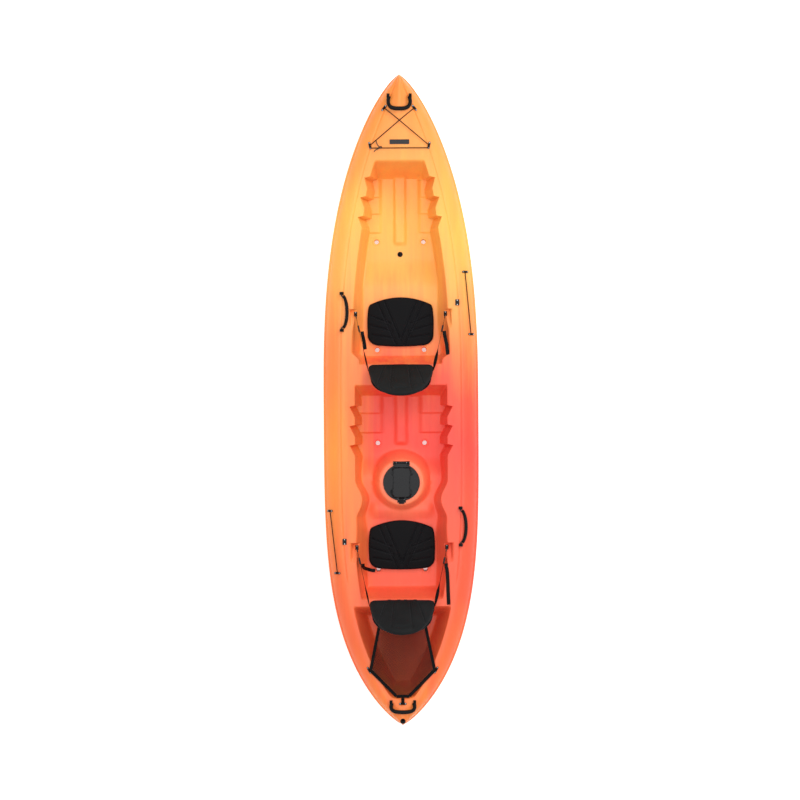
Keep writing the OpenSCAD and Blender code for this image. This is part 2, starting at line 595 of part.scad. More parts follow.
// Backrest frame: local X across, local Y up the back, local Z forward; origin on the hinge line.
back_base = 18;
function back_pivot(y) = [0, y - 12, deck_top(0, y - 22) + 15];
module in_back(y) {
    translate(back_pivot(y)) rotate([90 + recline, 0, 0]) mirror([0, 0, 1]) children();
}
function back_point(y, x, s, w) = back_pivot(y) + [x, -s * sin(recline) + w * cos(recline),
    s * cos(recline) + w * sin(recline)];
function back_edge(s0, half) = [for (a = [0 : 9 : 180]) let(k = 0.8)
    [half * sign(cos(a)) * pow(abs(cos(a)), k), s0 + (back_h - s0) * pow(sin(a), k)]];
module back_outline(inset) {
    offset(delta = -inset) hull() {
        polygon(back_edge(back_base + 60, back_w / 2));
        for (e = [-1, 1]) translate([e * (back_w / 2 - 18), back_base + 18]) circle(r = 18, $fn = 24);
    }
}
module backrest(y) {
    color("black") in_back(y) translate([0, 0, 5]) hull() {
        linear_extrude(cushion_t) back_outline(10);
        translate([0, 0, 6]) linear_extrude(cushion_t - 14) back_outline(0);
    }
}
module front_backrest() {
    backrest(front_bulkhead_y);
}
module rear_backrest() {
    backrest(rear_bulkhead_y);
}
knuckles = [-47, 0, 47];
module backrest_board(y) {
    color("black") in_back(y) difference() {
        union() {
            linear_extrude(4) back_outline(8);
            for (k = knuckles) translate([k, 0, 2]) rotate([0, 90, 0])
                cylinder(r = 6, h = k == 0 ? 14 : 34, center = true, $fn = 24);
            for (k = knuckles) translate([k - (k == 0 ? 7 : 17), 0, 0]) cube([k == 0 ? 14 : 34, 40, 4]);
        }
        translate([-80, 0, 2]) rotate([0, 90, 0]) cylinder(r = 3.05, h = 160, $fn = 24);
    }
}
module front_backrest_board() {
    backrest_board(front_bulkhead_y);
}
module rear_backrest_board() {
    backrest_board(rear_bulkhead_y);
}
function pivot_line(y) = back_point(y, 0, 0, 2);
module back_saddles(y) {
    p = pivot_line(y);
    foot = deck_top(0, y - 22) + 1.4;
    color("black") difference() {
        union() for (x = [-73, -18.5, 18.5, 73]) translate([x, p[1], 0]) {
            translate([-5, 0, p[2]]) rotate([0, 90, 0]) cylinder(r = 6.5, h = 10, $fn = 24);
            translate([-5, -6.5, foot]) cube([10, 13, p[2] - foot]);
            translate([-8, -13, foot]) cube([16, 20, 3]);
        }
        translate([-100, p[1], p[2]]) rotate([0, 90, 0]) cylinder(r = 3.05, h = 200, $fn = 24);
    }
}
module back_rod(y) {
    p = pivot_line(y);
    color("silver") translate([0, p[1], p[2]]) rotate([0, 90, 0]) cylinder(r = 3, h = 160, center = true, $fn = 24);
}
module front_back_saddles() {
    back_saddles(front_bulkhead_y);
}
module rear_back_saddles() {
    back_saddles(rear_bulkhead_y);
}
module front_back_rod() {
    back_rod(front_bulkhead_y);
}
module rear_back_rod() {
    back_rod(rear_bulkhead_y);
}

// ---------- seat straps ----------
function strap_eye_at(side, eye_y) = at_deck(side * strap_eye_x, eye_y, 17.6);
function strap_start(side, eye_y) = let(
    eye = strap_eye_at(side, eye_y),
    b = strap_end(side, eye_y > 0 ? front_bulkhead_y : rear_bulkhead_y))
    eye + 24 * unit(b - eye);
function strap_end(side, y) = back_point(y, side * (back_w / 2 + 3), back_base + 26, 2);
module strap(side, eye_y, y) {
    a = strap_start(side, eye_y);
    b = strap_end(side, y);
    color("dimgray") along(a, b) translate([0, -web_t / 2, -web_w / 2]) cube([norm(b - a), web_t, web_w]);
}
module front_strap_starboard() {
    strap(1, front_eye_y, front_bulkhead_y);
}
module front_strap_port() {
    strap(-1, front_eye_y, front_bulkhead_y);
}
module rear_strap_starboard() {
    strap(1, rear_eye_y, rear_bulkhead_y);
}
module rear_strap_port() {
    strap(-1, rear_eye_y, rear_bulkhead_y);
}
// ladder-lock buckle round its strap, with the free tail of the webbing
module adjuster(side, eye_y, y, at) {
    a = strap_start(side, eye_y);
    b = strap_end(side, y);
    out = -side;
    color("black") along(a, b) translate([at, 0, 0]) difference() {
        translate([-17, -4.5, -web_w / 2 - 4]) cube([34, 9, web_w + 8]);
        translate([-20, -web_t / 2 - 0.4, -web_w / 2 - 0.5]) cube([40, web_t + 0.8, web_w + 1]);
        translate([-8, -6, -web_w / 2 - 0.5]) cube([5, 12, web_w + 1]);
        translate([3, -6, -web_w / 2 - 0.5]) cube([5, 12, web_w + 1]);
    }
}
// free tail of webbing: it leaves the buckle beside the strap and lies on whatever is under it
function laid(x, y) = max([for (e = [-13, -6, 0, 6, 13], f = [-8, 8]) deck_top(x + e, y + f)]) + 2.6;
function tail_path(side, eye_y, y, at, beside, stops, least) = let(
    a = strap_start(side, eye_y), u = unit(strap_end(side, y) - a), start = a + (at + 17.6) * u,
    plan = concat([[start[0] + side * beside, start[1]], [start[0] + side * beside * 1.1, start[1] - 16]], stops))
    [for (i = [len(plan) - 1 : -1 : 0]) [plan[i][0], plan[i][1],
        max(laid(plan[i][0], plan[i][1]), i < 2 ? start[2] + 5 : 0, least)]];
module tail(points) {
    n = len(points);
    side = [for (i = [0 : n - 1]) let(d = points[min(i + 1, n - 1)] - points[max(i - 1, 0)])
        unit([d[1], -d[0], 0]) * web_w / 2];
    color("dimgray") skin(
        [for (i = [0 : n - 1]) [for (e = [1, -1]) points[i] + e * side[i] + [0, 0, web_t / 2]]],
        [for (i = [0 : n - 1]) [for (e = [1, -1]) points[i] + e * side[i] - [0, 0, web_t / 2]]]);
}
module front_adjuster_starboard() {
    adjuster(1, front_eye_y, front_bulkhead_y, 62);
}
module front_adjuster_port() {
    adjuster(-1, front_eye_y, front_bulkhead_y, 62);
}
module rear_adjuster_starboard() {
    adjuster(1, rear_eye_y, rear_bulkhead_y, 52);
}
module rear_adjuster_port() {
    adjuster(-1, rear_eye_y, rear_bulkhead_y, 52);
}
module front_tail_starboard() {
    tail(tail_path(1, front_eye_y, front_bulkhead_y, 62, 13,
        [for (k = [1 : 4]) [252 + 3.5 * k, front_pad_y - 66 - 31 * k]], 0));
}
module front_tail_port() {
    tail(tail_path(-1, front_eye_y, front_bulkhead_y, 62, -15.5,
        [for (k = [1 : 3]) [-207 + 2 * k, front_pad_y - 68 - 30 * k]], strap_eye_at(-1, front_eye_y)[2] - 2));
}
module rear_tail_starboard() {
    tail(tail_path(1, rear_eye_y, rear_bulkhead_y, 52, 13,
        [for (k = [1 : 6]) [253 + 1.5 * k, rear_pad_y - 100 - 38 * k]], 0));
}
module rear_tail_port() {
    tail(tail_path(-1, rear_eye_y, rear_bulkhead_y, 52, -16.5,
        [[-212, rear_pad_y - 124], [-194, rear_pad_y - 136], [-174, rear_pad_y - 142], [-154, rear_pad_y - 144]],
        seat_floor + pad_lift + pad_t + 2));
}
// eyes in the strap pockets: a base plate with a bail across the hull
module strap_eye() {
    difference() {
        translate([-9, -13.5, 0.7]) cube([18, 27, 2]);
        for (e = [-1, 1]) translate([0, e * 9, -1]) cylinder(r = 2.3, h = 6, $fn = 20);
    }
    translate([0, 0, 2.8]) rotate([90, 0, 0]) rotate_extrude(angle = 180, $fn = 24)
        translate([7, 0]) circle(r = 2.2, $fn = 14);
}
module strap_eye_at(side, y) {
    translate(strap_eye_at(side, y)) rotate([18, 0, 0]) translate([0, 0, -9.8]) children();
}
module strap_pad_eyes() {
    color("black") for (side = [-1, 1], y = [front_eye_y, rear_eye_y]) strap_eye_at(side, y) strap_eye();
}
module strap_hooks() {
    color("black") for (side = [-1, 1], y = [front_eye_y, rear_eye_y])
        along(strap_start(side, y), strap_end(side, y > 0 ? front_bulkhead_y : rear_bulkhead_y))
            translate([-30, -3, -4.6]) difference() {
                cube([29, 6, 9.2]);
                translate([3, -1, 1.8]) cube([7, 8, 5.6]);
                translate([14, -1, 1.8]) cube([11, 8, 5.6]);
            }
}

// ---------- handles ----------
// Handle in its own frame: hinge line on local X, the loop lies towards local -Y.
function loop_point(a, half, sag) = [(half - 12) * cos(a), -sag * sin(a), 0];
function loop_points(half, sag) = concat([[half + 9, 0, 0], [half - 8, 0, 0]],
    [for (a = [14 : 19 : 166]) loop_point(a, half, sag)], [[8 - half, 0, 0], [-half - 9, 0, 0]]);
module handle_loop(half, sag) {
    color("dimgray") tube(loop_points(half, sag), 4, 10);
}
module handle_grip(half, sag, from) {
    color("black") difference() {
        tube([for (i = [0 : 8]) loop_point(lerp(from, 180 - from, i / 8), half, sag)], grip_r, 12);
        tube([for (i = [-2 : 10]) loop_point(lerp(from, 180 - from, i / 8), half, sag)], 5, 10);
    }
}
bow_tilt = atan((deck_top(0, bow_handle_y) - deck_top(0, bow_handle_y - 74)) / 74);
stern_tilt = atan((deck_top(0, stern_handle_y - 58) - deck_top(0, stern_handle_y)) / 58);
side_tilt = 0;
side_half = handle_len / 2 - 18;
port_handle_y = front_pad_y + 54;
starboard_handle_y = rear_pad_y + 111;
port_handle_x = -half_width(port_handle_y) + 96;
starboard_handle_x = half_width(starboard_handle_y) - 98;
handle_lift = 13;
module at_bow_handle() {
    translate(at_deck(0, bow_handle_y, handle_lift)) rotate([bow_tilt, 0, 0]) children();
}
module at_stern_handle() {
    translate(at_deck(0, stern_handle_y, handle_lift)) rotate([-stern_tilt, 0, 0]) children();
}
module at_port_handle() {
    translate(at_deck(port_handle_x, port_handle_y, handle_lift)) rotate([0, 0, 90]) rotate([-side_tilt, 0, 0])
        children();
}
module at_starboard_handle() {
    translate(at_deck(starboard_handle_x, starboard_handle_y, handle_lift)) rotate([0, 0, 90])
        rotate([-side_tilt, 0, 0]) children();
}
module bow_handle_loop() {
    at_bow_handle() handle_loop(56, 66);
}
module bow_handle_grip() {
    at_bow_handle() handle_grip(56, 66, 40);
}
module stern_handle_loop() {
    at_stern_handle() handle_loop(60, 50);
}
module stern_handle_grip() {
    at_stern_handle() handle_grip(60, 50, 40);
}
module port_handle_loop() {
    at_port_handle() handle_loop(side_half, 30);
}
module port_handle_grip() {
    at_port_handle() handle_grip(side_half, 30, 44);
}
module starboard_handle_loop() {
    at_starboard_handle() handle_loop(side_half, 30);
}
module starboard_handle_grip() {
    at_starboard_handle() handle_grip(side_half, 30, 44);
}
// rubber end cap that holds an end of a handle; its foot stands on the deck under it
module anchor(p, turn) {
    long = turn ? 11 : 8;
    wide = turn ? 8 : 11;
    foot = max([for (i = [-1, 1], j = [-1, 1]) deck_top(p[0] + i * long, p[1] + j * wide)]) + 1.4 - p[2];
    color("black") translate(p) rotate([0, 0, turn ? 90 : 0]) difference() {
        union() {
            translate([-8, -11, foot]) cube([16, 22, 4 - foot]);
            translate([-8, 0, 3]) rotate([0, 90, 0]) cylinder(r = 8, h = 16, $fn = 24);
        }
        translate([-20, 0, 0]) rotate([0, 90, 0]) cylinder(r = 4.4, h = 40, $fn = 24);
    }
}
module handle_anchors() {
    for (e = [-1, 1]) {
        anchor(at_deck(0, bow_handle_y, handle_lift) + [e * 62, 0, 0], false);
        anchor(at_deck(0, stern_handle_y, handle_lift) + [e * 66, 0, 0], false);
        anchor(at_deck(port_handle_x, port_handle_y, handle_lift) + [0, e * (side_half + 6), 0], true);
        anchor(at_deck(starboard_handle_x, starboard_handle_y, handle_lift) + [0, e * (side_half + 6), 0], true);
    }
}

// ---------- deck lines and small fittings ----------
lace_eyes = [[85, lace_fore_y, -50], [166, lace_aft_y, 78]];
function lace_at(side, k) = at_deck(side * lace_eyes[k][0], lace_eyes[k][1], eye_top);
module bow_pad_eyes() {
    color("black") for (side = [-1, 1], k = [0, 1]) on_deck(side * lace_eyes[k][0], lace_eyes[k][1], side * lace_eyes[k][2])
        pad_eye();
}
module deck_lacing() {
    color("black") {
        tube(run(lace_at(1, 0), lace_at(-1, 1), 12, 1.5), cord_d / 2, 8);
        tube(run(lace_at(-1, 0), lace_at(1, 1), 12, cord_d + 2), cord_d / 2, 8);
        tube(run(lace_at(-1, 1) - [0, 15, 0], lace_at(1, 1) - [0, 15, 0], 12, 1.5), cord_d / 2, 8);
    }
}
knot = at_deck(-108, lace_aft_y - 12, cord_d + 4);
module lacing_knot() {
    color("black") {
        translate(knot + [0, 0, 2]) sphere(r = 6, $fn = 16);
        tube([knot, knot + [-12, 10, 1], knot + [-20, 26, 1], knot + [-22, 36, 0]], cord_d / 2, 8);
        tube([knot, knot + [-14, -8, 0], knot + [-26, -14, 0], knot + [-36, -24, -1]], cord_d / 2, 8);
    }
}
keeper_front = [[half_width(722) - 42, 722], [half_width(370) - 35, 370]];
keeper_rear = [[45 - half_width(-975), -975], [29 - half_width(-625), -625]];
module keeper_eyelets() {
    color("black") for (p = concat(keeper_front, keeper_rear)) on_deck(p[0], p[1], 0) pad_eye();
}
module keeper_run(p) {
    tube(run(at_deck(p[0][0], p[0][1], eye_top), at_deck(p[1][0], p[1][1], eye_top), 14, 5.5), cord_d / 2, 8);
}
module paddle_keeper_cords() {
    color("black") {
        keeper_run(keeper_front);
        keeper_run(keeper_rear);
    }
}
module keeper_hook() {
    difference() {
        translate([-17, -11, 0]) cube([34, 22, 3]);
        for (e = [-1, 1]) translate([e * 12, 0, -1]) cylinder(r = 2.3, h = 6, $fn = 20);
    }
    translate([-6, -11, 2.5]) cube([12, 5, 8]);
    translate([-6, -11, 8]) cube([12, 18, 3]);
}
keeper_spots = [[half_width(549) - 103, 549, 90], [103 - half_width(-798), -798, -90]];
module paddle_keeper_hooks() {
    color("black") for (p = keeper_spots) on_deck(p[0], p[1], p[2]) keeper_hook();
}
module fitting_screws() {
    color("silver") {
        for (side = [-1, 1], k = [0, 1]) on_deck(side * lace_eyes[k][0], lace_eyes[k][1], side * lace_eyes[k][2])
            pad_eye_screw_pair();
        for (p = concat(keeper_front, keeper_rear)) on_deck(p[0], p[1], 0) pad_eye_screw_pair();
        for (p = keeper_spots) on_deck(p[0], p[1], p[2]) for (e = [-1, 1]) translate([e * 12, 0, 0.2]) screw(3);
        for (side = [-1, 1], k = [0, 1]) on_deck(side * net_eyes[k][0], net_eyes[k][1], net_eyes[k][2] * side)
            pad_eye_screw_pair();
        on_deck(0, net_stern_y, 0) pad_eye_screw_pair();
        for (side = [-1, 1], y = [front_eye_y, rear_eye_y], e = [-1, 1])
            strap_eye_at(side, y) translate([0, e * 9, 0.2]) screw(3);
    }
}

// ---------- cargo net over the tank well ----------
net_stern_y = tank_end_y - 34;
net_eyes = [[118, tank_well_y + 14, 0], [188, tank_end_y + 152, 60]];
net_up = 12;
net_corner = [
    at_deck(net_eyes[0][0], net_eyes[0][1] - 12, net_up),
    at_deck(net_eyes[1][0], net_eyes[1][1], net_up),
    at_deck(38, tank_end_y + 1, net_up)];
net_edge = concat([for (k = [0 : 2]) net_corner[k]],
    [for (k = [2 : -1 : 0]) [-net_corner[k][0], net_corner[k][1], net_corner[k][2]]]);
function net_z(y) = let(a = net_corner[0], b = net_corner[1], c = net_corner[2])
    y > b[1] ? lerp(b[2], a[2], (y - b[1]) / (a[1] - b[1])) : lerp(c[2], b[2], (y - c[1]) / (b[1] - c[1]));
function net_half(y, inset) = let(a = net_corner[0], b = net_corner[1], c = net_corner[2])
    (y > b[1] ? lerp(b[0], a[0], (y - b[1]) / (a[1] - b[1])) : lerp(c[0], b[0], (y - c[1]) / (b[1] - c[1]))) - inset;
net_rows = [net_corner[2][1] + 12, (net_corner[1][1] + net_corner[2][1]) / 2, net_corner[1][1],
    lerp(net_corner[1][1], net_corner[0][1], 0.33), lerp(net_corner[1][1], net_corner[0][1], 0.67),
    net_corner[0][1] - 12];
net_columns = [1, 0.6, 0.2, -0.2, -0.6, -1];
module tankwell_net() {
    color("saddlebrown") skin(
        [for (y = net_rows) [for (c = net_columns) [c * net_half(y, 9), y, net_z(y) + 0.9]]],
        [for (y = net_rows) [for (c = net_columns) [c * net_half(y, 9), y, net_z(y) - 0.3]]]);
}
module net_webbing() {
    rows = concat([net_corner[2][1]], [for (i = [0 : 3]) lerp(net_corner[2][1] + 17, net_corner[0][1] - 17, i / 3)],
        [net_corner[1][1], net_corner[0][1]]);
    list = sorted(rows);
    color("black") {
        for (side = [-1, 1]) skin(
            [for (y = list) [for (c = side > 0 ? [0, 17] : [17, 0]) [side * net_half(y, c), y, net_z(y) + 3]]],
            [for (y = list) [for (c = side > 0 ? [0, 17] : [17, 0]) [side * net_half(y, c), y, net_z(y) + 1.2]]]);
        for (y = [net_corner[0][1] - 17, net_corner[2][1]]) translate([-net_half(y + 8, 8), y, net_z(y + 8) + 1.4])
            cube([2 * net_half(y + 8, 8), 17, 1.4]);
        translate(at_deck(0, net_stern_y + 8, eye_top + 4)) translate([-9, 0, 0]) cube([18, 34, 1.6]);
    }
}
module net_pad_eyes() {
    color("black") {
        for (side = [-1, 1], k = [0, 1]) on_deck(side * net_eyes[k][0], net_eyes[k][1], net_eyes[k][2] * side)
            pad_eye();
        on_deck(0, net_stern_y, 0) pad_eye();
    }
}
module name_plate() {
    y = lace_aft_y + 19;
    color("dimgray") on_deck(0, y, 0) translate([-55, -13, 0]) cube([110, 26, 1.5]);
}

aft_deck_moulding();
fore_deck_moulding();
hull_moulding();
scupper_tubes();
foam_blocks();
plug_inserts();
stern_drain_plug();
footwell_plug();
hatch_rim();
hatch_bucket();
hatch_gasket();
hatch_lid();
hatch_hinge_pin();
hatch_latch();
hatch_latch_pin();
hatch_screws();
front_seat_pad();
rear_seat_pad();
front_backrest();
rear_backrest();
front_backrest_board();
rear_backrest_board();
front_back_saddles();
rear_back_saddles();
front_back_rod();
rear_back_rod();
front_strap_starboard();
front_strap_port();
rear_strap_starboard();
rear_strap_port();
front_adjuster_starboard();
front_adjuster_port();
rear_adjuster_starboard();
rear_adjuster_port();
front_tail_starboard();
front_tail_port();
rear_tail_starboard();
rear_tail_port();
strap_pad_eyes();
strap_hooks();
bow_handle_loop();
bow_handle_grip();
stern_handle_loop();
stern_handle_grip();
port_handle_loop();
port_handle_grip();
starboard_handle_loop();
starboard_handle_grip();
handle_anchors();
bow_pad_eyes();
deck_lacing();
lacing_knot();
keeper_eyelets();
paddle_keeper_cords();
paddle_keeper_hooks();
fitting_screws();
tankwell_net();
net_webbing();
net_pad_eyes();
name_plate();
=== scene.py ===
"""Two-seat sit-on-top kayak: the looks built round the packed frame."""

import json
import math

import bmesh
import bpy
import numpy as np
from bpy.props import FloatProperty, PointerProperty
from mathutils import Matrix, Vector


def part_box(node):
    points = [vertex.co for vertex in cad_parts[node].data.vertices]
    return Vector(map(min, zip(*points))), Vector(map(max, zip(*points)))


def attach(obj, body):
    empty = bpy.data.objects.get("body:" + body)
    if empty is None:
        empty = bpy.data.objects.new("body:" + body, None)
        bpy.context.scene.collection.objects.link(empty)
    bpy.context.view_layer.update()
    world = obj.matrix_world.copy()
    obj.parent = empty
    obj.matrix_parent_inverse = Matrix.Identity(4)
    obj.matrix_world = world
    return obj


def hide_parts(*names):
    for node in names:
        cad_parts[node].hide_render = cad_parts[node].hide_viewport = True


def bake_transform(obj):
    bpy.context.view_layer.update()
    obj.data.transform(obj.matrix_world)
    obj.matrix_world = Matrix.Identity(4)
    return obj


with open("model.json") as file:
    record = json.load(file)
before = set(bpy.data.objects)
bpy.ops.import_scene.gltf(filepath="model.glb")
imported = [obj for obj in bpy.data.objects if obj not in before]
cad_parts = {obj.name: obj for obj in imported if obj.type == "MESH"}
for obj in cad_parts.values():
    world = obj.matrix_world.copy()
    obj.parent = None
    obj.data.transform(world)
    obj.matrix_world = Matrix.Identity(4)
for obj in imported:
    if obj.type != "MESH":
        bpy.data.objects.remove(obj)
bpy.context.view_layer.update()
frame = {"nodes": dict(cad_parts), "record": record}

bl_info = {
    "name": "Sit-on-top Kayak Finishing",
    "version": (1, 0, 0),
    "blender": (4, 5, 0),
    "location": "View3D > Sidebar > Kayak",
    "description": "Builds the skins, seats, straps, lines and fittings of a two-seat sit-on-top kayak",
    "category": "Object",
}

MM = 0.001
NODES = frame["nodes"]


def linear(code):
    """Linear colour of an sRGB hex code, with alpha 1."""
    values = [int(code[i:i + 2], 16) / 255 for i in (1, 3, 5)]
    return [v / 12.92 if v <= 0.04045 else ((v + 0.055) / 1.055) ** 2.4 for v in values] + [1.0]


# ---------- sizes of the hull, in millimetres, as the part's source has them ----------
HALF_LEN, HALF_BEAM = 1829.0, 439.0
SEAM_H, BOW_RISE, STERN_RISE = 194.0, 120.0, 92.0
FLANGE_W, FLANGE_T, SHOULDER = 9.0, 4.0, 62.0
CREASE, STEM, TUNNEL = 100.0, 34.0, 24.0
SIDE_DECK, FOOT_FLOOR, SEAT_FLOOR = 160.0, 75.0, 120.0
FRONT_WELL, FRONT_BULK, REAR_WELL, REAR_BULK = 1345.0, 203.0, 84.0, -1120.0
TANK_WELL, TANK_END = -1166.0, -1670.0
HATCH_Y, BOSS_Z, BOSS_R = -467.0, 214.0, 128.0
FRONT_PAD, REAR_PAD = 445.0, -826.0
SCUPPERS = ((906.0, FOOT_FLOOR), (287.0, SEAT_FLOOR), (-246.0, FOOT_FLOOR), (-965.0, SEAT_FLOOR))
SCUPPER_X, SCUPPER_R, TUBE_R = 134.0, 13.0, 19.0
DRAIN_Y, PLUG_Y = -1799.0, 834.0
# pigments of the hull by their place along it, 0 at the stern and 1 at the bow; the port side has its own amidships
PIGMENTS = ((0.0, "#F88A3C"), (0.07, "#F57440"), (0.17, "#EF5E3E"), (0.33, "#F05A42"), (0.44, "#EE4C3F"),
            (0.51, "#F0563F"), (0.57, "#F67A46"), (0.64, "#F89850"), (0.7, "#F9AC55"), (0.78, "#F9B552"),
            (0.87, "#F79E4C"), (1.0, "#F3883A"))
PORT_PIGMENTS = ((0.0, "#F88A3C"), (0.14, "#F37640"), (0.28, "#F59040"), (0.45, "#F79440"), (0.58, "#F88F48"),
                 (0.68, "#F9A650"), (0.8, "#F8A34C"), (1.0, "#F3883A"))
FINE_DRIFT, CLOUD_DRIFT = 0.05, 0.1     # shares of the length by which fine and broad noise carry the pigments
BROAD_GRAIN = 22.0                      # cycles per metre of the broad mottling of moulded fittings


# ---------- shape of the deck and hull ----------
def smooth(t):
    """Smooth step: 3 c^2 - 2 c^3 of t held to 0..1."""
    c = np.clip(t, 0, 1)
    return c * c * (3 - 2 * c)


def bump(t):
    """Rounded bump: (1 - t^2)^2 inside -1..1, nothing outside."""
    c = np.minimum(np.abs(t), 1)
    return (1 - c * c) ** 2


def soft_min(a, b, k):
    """Lesser of a and b, blended by a parabola where they are within k."""
    h = np.clip(0.5 + 0.5 * (b - a) / k, 0, 1)
    return b + (a - b) * h - k * h * (1 - h)


def soft_max(a, b, k):
    """Greater of a and b, blended in the same way."""
    return -soft_min(-a, -b, k)


def half_width(y):
    """Half width at the gunwale: half beam x (1 - s^p)^q, s the share of the way from amidships to the tip, rounded
    off over the last 12 mm."""
    s = np.minimum(np.abs(y) / HALF_LEN, 1)
    p, q = np.where(y > 0, 2.6, 4.0), np.where(y > 0, 0.76, 0.8)
    h = np.maximum(12, HALF_BEAM * (1 - s ** p) ** q)
    over = np.clip((np.abs(y) - HALF_LEN + 12) / 12, 0, 1)
    return h * np.sqrt(np.maximum(1 - over ** 2, 0.0004))


def seam_z(y):
    """Height of the gunwale: it rises with the 2.6th power towards each tip."""
    return SEAM_H + np.where(y > 0, BOW_RISE, STERN_RISE) * np.minimum(np.abs(y) / HALF_LEN, 1) ** 2.6


def keel_z(y):
    """Height of the keel line: level amidships, then rising to the stems."""
    v = np.clip((np.abs(y) / HALF_LEN - 0.55) / 0.45, 0, 1)
    return (seam_z(y) - STEM) * (0.2 * v ** 3 + 0.8 * (1 - np.sqrt(1 - v ** 8)))


def flange(y):
    return np.minimum(FLANGE_W, 0.35 * half_width(y))


def crease_in(y):
    """Distance of the deck crease from the gunwale, closing in towards the tips."""
    h = half_width(y)
    return np.minimum(CREASE * (1 - np.exp(-h / 110)), 0.75 * h)


def notch(y, y0):
    """Foot rest notch: a steep forward face, then a straight run back to the rim."""
    d = y0 - y
    return np.where((d < -4) | (d > 62), 0, np.where(d < 3, 30 * (d + 4) / 7, 30 * (1 - (d - 3) / 59)))


def notches(y, rim):
    return np.maximum.reduce([notch(y, rim - 90 - 110 * k) for k in range(3)])


def front_half(y):
    fore, aft = smooth((y - FRONT_WELL + 400) / 300), smooth((FRONT_PAD - 172 - y) / 50)
    return half_width(y) - SIDE_DECK + 20 * fore - 44 * aft


def rear_half(y):
    return half_width(y) - SIDE_DECK - 18 * smooth((y + 900) / 200) - 36 * bump((y - HATCH_Y + 95) / 110)


def tank_half(y):
    return half_width(y) - CREASE - 6


def in_front(y):
    return y > (FRONT_BULK + REAR_WELL) / 2


def in_rear(y):
    return y > (REAR_BULK + TANK_WELL) / 2


def plateau(x, y):
    """Deck without its wells: flange, shoulder rising as sin^0.7 to the crease, flat side deck, crowned ends, and a
    shallow groove along the crease."""
    h, fl, ci = half_width(y), flange(y), crease_in(y)
    v = np.clip((h - np.abs(x) - fl) / np.maximum(ci - fl, 0.1), 0, 1)
    ends = smooth((y - FRONT_WELL) / 150) + smooth((TANK_END - y) / 60)
    across = np.abs(x) / np.maximum(h - ci, 1)
    crown = 15 * ends * (1 - np.minimum(across, 1) ** 2) * smooth(h / 60)
    ridge = 4 * smooth((y - 1500) / 200) * bump(x / (6 + 0.16 * h)) * smooth(h / 60)
    width = np.minimum(4.5, 0.08 * h)
    groove = 2.6 * bump((h - np.abs(x) - ci) / width) * smooth((y + 1060) / 70) * smooth((h - 30) / 60)
    rise = SHOULDER * np.sin(np.pi / 2 * v) ** 0.7 * smooth(h / 50 + 0.3)
    return seam_z(y) + FLANGE_T + rise + crown + ridge - groove


def heel_ledge(x, y, y0):
    return 9 * smooth((y - y0) / 8 + 0.5) * smooth((np.abs(x) - 100) / 22)


def rib(x, y, y_end):
    """Raised rib down the middle of a footwell, with a half-round top."""
    return 14 * smooth((37 - np.abs(x)) / 12) * smooth((y - y_end) / 26)


def front_floor(x, y):
    base = SEAT_FLOOR + (FOOT_FLOOR - SEAT_FLOOR) * smooth((y - FRONT_PAD - 185) / 190)
    ledges = sum(heel_ledge(x, y, FRONT_WELL - d) for d in (388, 281, 186))
    return base + ledges + rib(x, y, FRONT_WELL - 465)


def rear_floor(x, y):
    """Rear floor with its heel ledges, the saddle before the seat and the round boss under the hatch."""
    base = SEAT_FLOOR + (FOOT_FLOOR - SEAT_FLOOR) * smooth((y - HATCH_Y - 10) / 150)
    saddle = 16 * bump((y - REAR_PAD - 206) / 66) * smooth((200 - np.abs(x)) / 60)
    ledges = sum(heel_ledge(x, y, REAR_WELL - d) for d in (159, 270))
    r = np.hypot(x, y - HATCH_Y)
    return soft_max(base + saddle + ledges + rib(x, y, REAR_WELL - 346), BOSS_Z - 2.6 * soft_max(r - BOSS_R, 0, 6), 10)


def slope_at(y, pad_y):
    return 5 - 2.4 * bump((y - pad_y) / 420)


def well(top, floor, half, x, y, fore, aft, slope):
    """A well: sides and ends fall from the rim at their own steepness, blended where they meet and at the floor."""
    ends = soft_min(3 * (fore - y), 3 * (y - aft), 20)
    fall = soft_min(slope * (half - np.abs(x)), ends, 36)
    return soft_max(floor, top - soft_max(fall, 0, 10), 16)


def pocket(top, z, x, y, y0):
    """Wedge-shaped strap pocket, 50 mm deep at its forward edge, with softened edges."""
    a = np.abs(x)
    depth = 50 * (1 - (y0 - y) / 112) * smooth((a - 227) / 7) * smooth((288 - a) / 7) * smooth((y0 + 3 - y) / 6)
    return np.where((y > y0 + 3) | (y < y0 - 112), z, np.minimum(z, top - depth))


def deck_top(x, y):
    """Height of the deck's upper surface over any point."""
    top = plateau(x, y)
    front = pocket(top, well(top, front_floor(x, y), front_half(y) + notches(y, FRONT_WELL), x, y,
                             FRONT_WELL, FRONT_BULK, slope_at(y, FRONT_PAD)), x, y, FRONT_PAD + 67)
    rear = pocket(top, well(top, rear_floor(x, y), rear_half(y) + notches(y, REAR_WELL - 28), x, y,
                            REAR_WELL, REAR_BULK, slope_at(y, REAR_PAD)), x, y, REAR_PAD + 18)
    corrugated = SEAT_FLOOR + 2.5 * bump(np.mod(x + 30, 60) / 30 - 1) * smooth((150 - np.abs(x)) / 40)
    tank = well(top, corrugated, tank_half(y), x, y, TANK_WELL, TANK_END, 3)
    return np.where(in_front(y), front, np.where(in_rear(y), rear, tank))


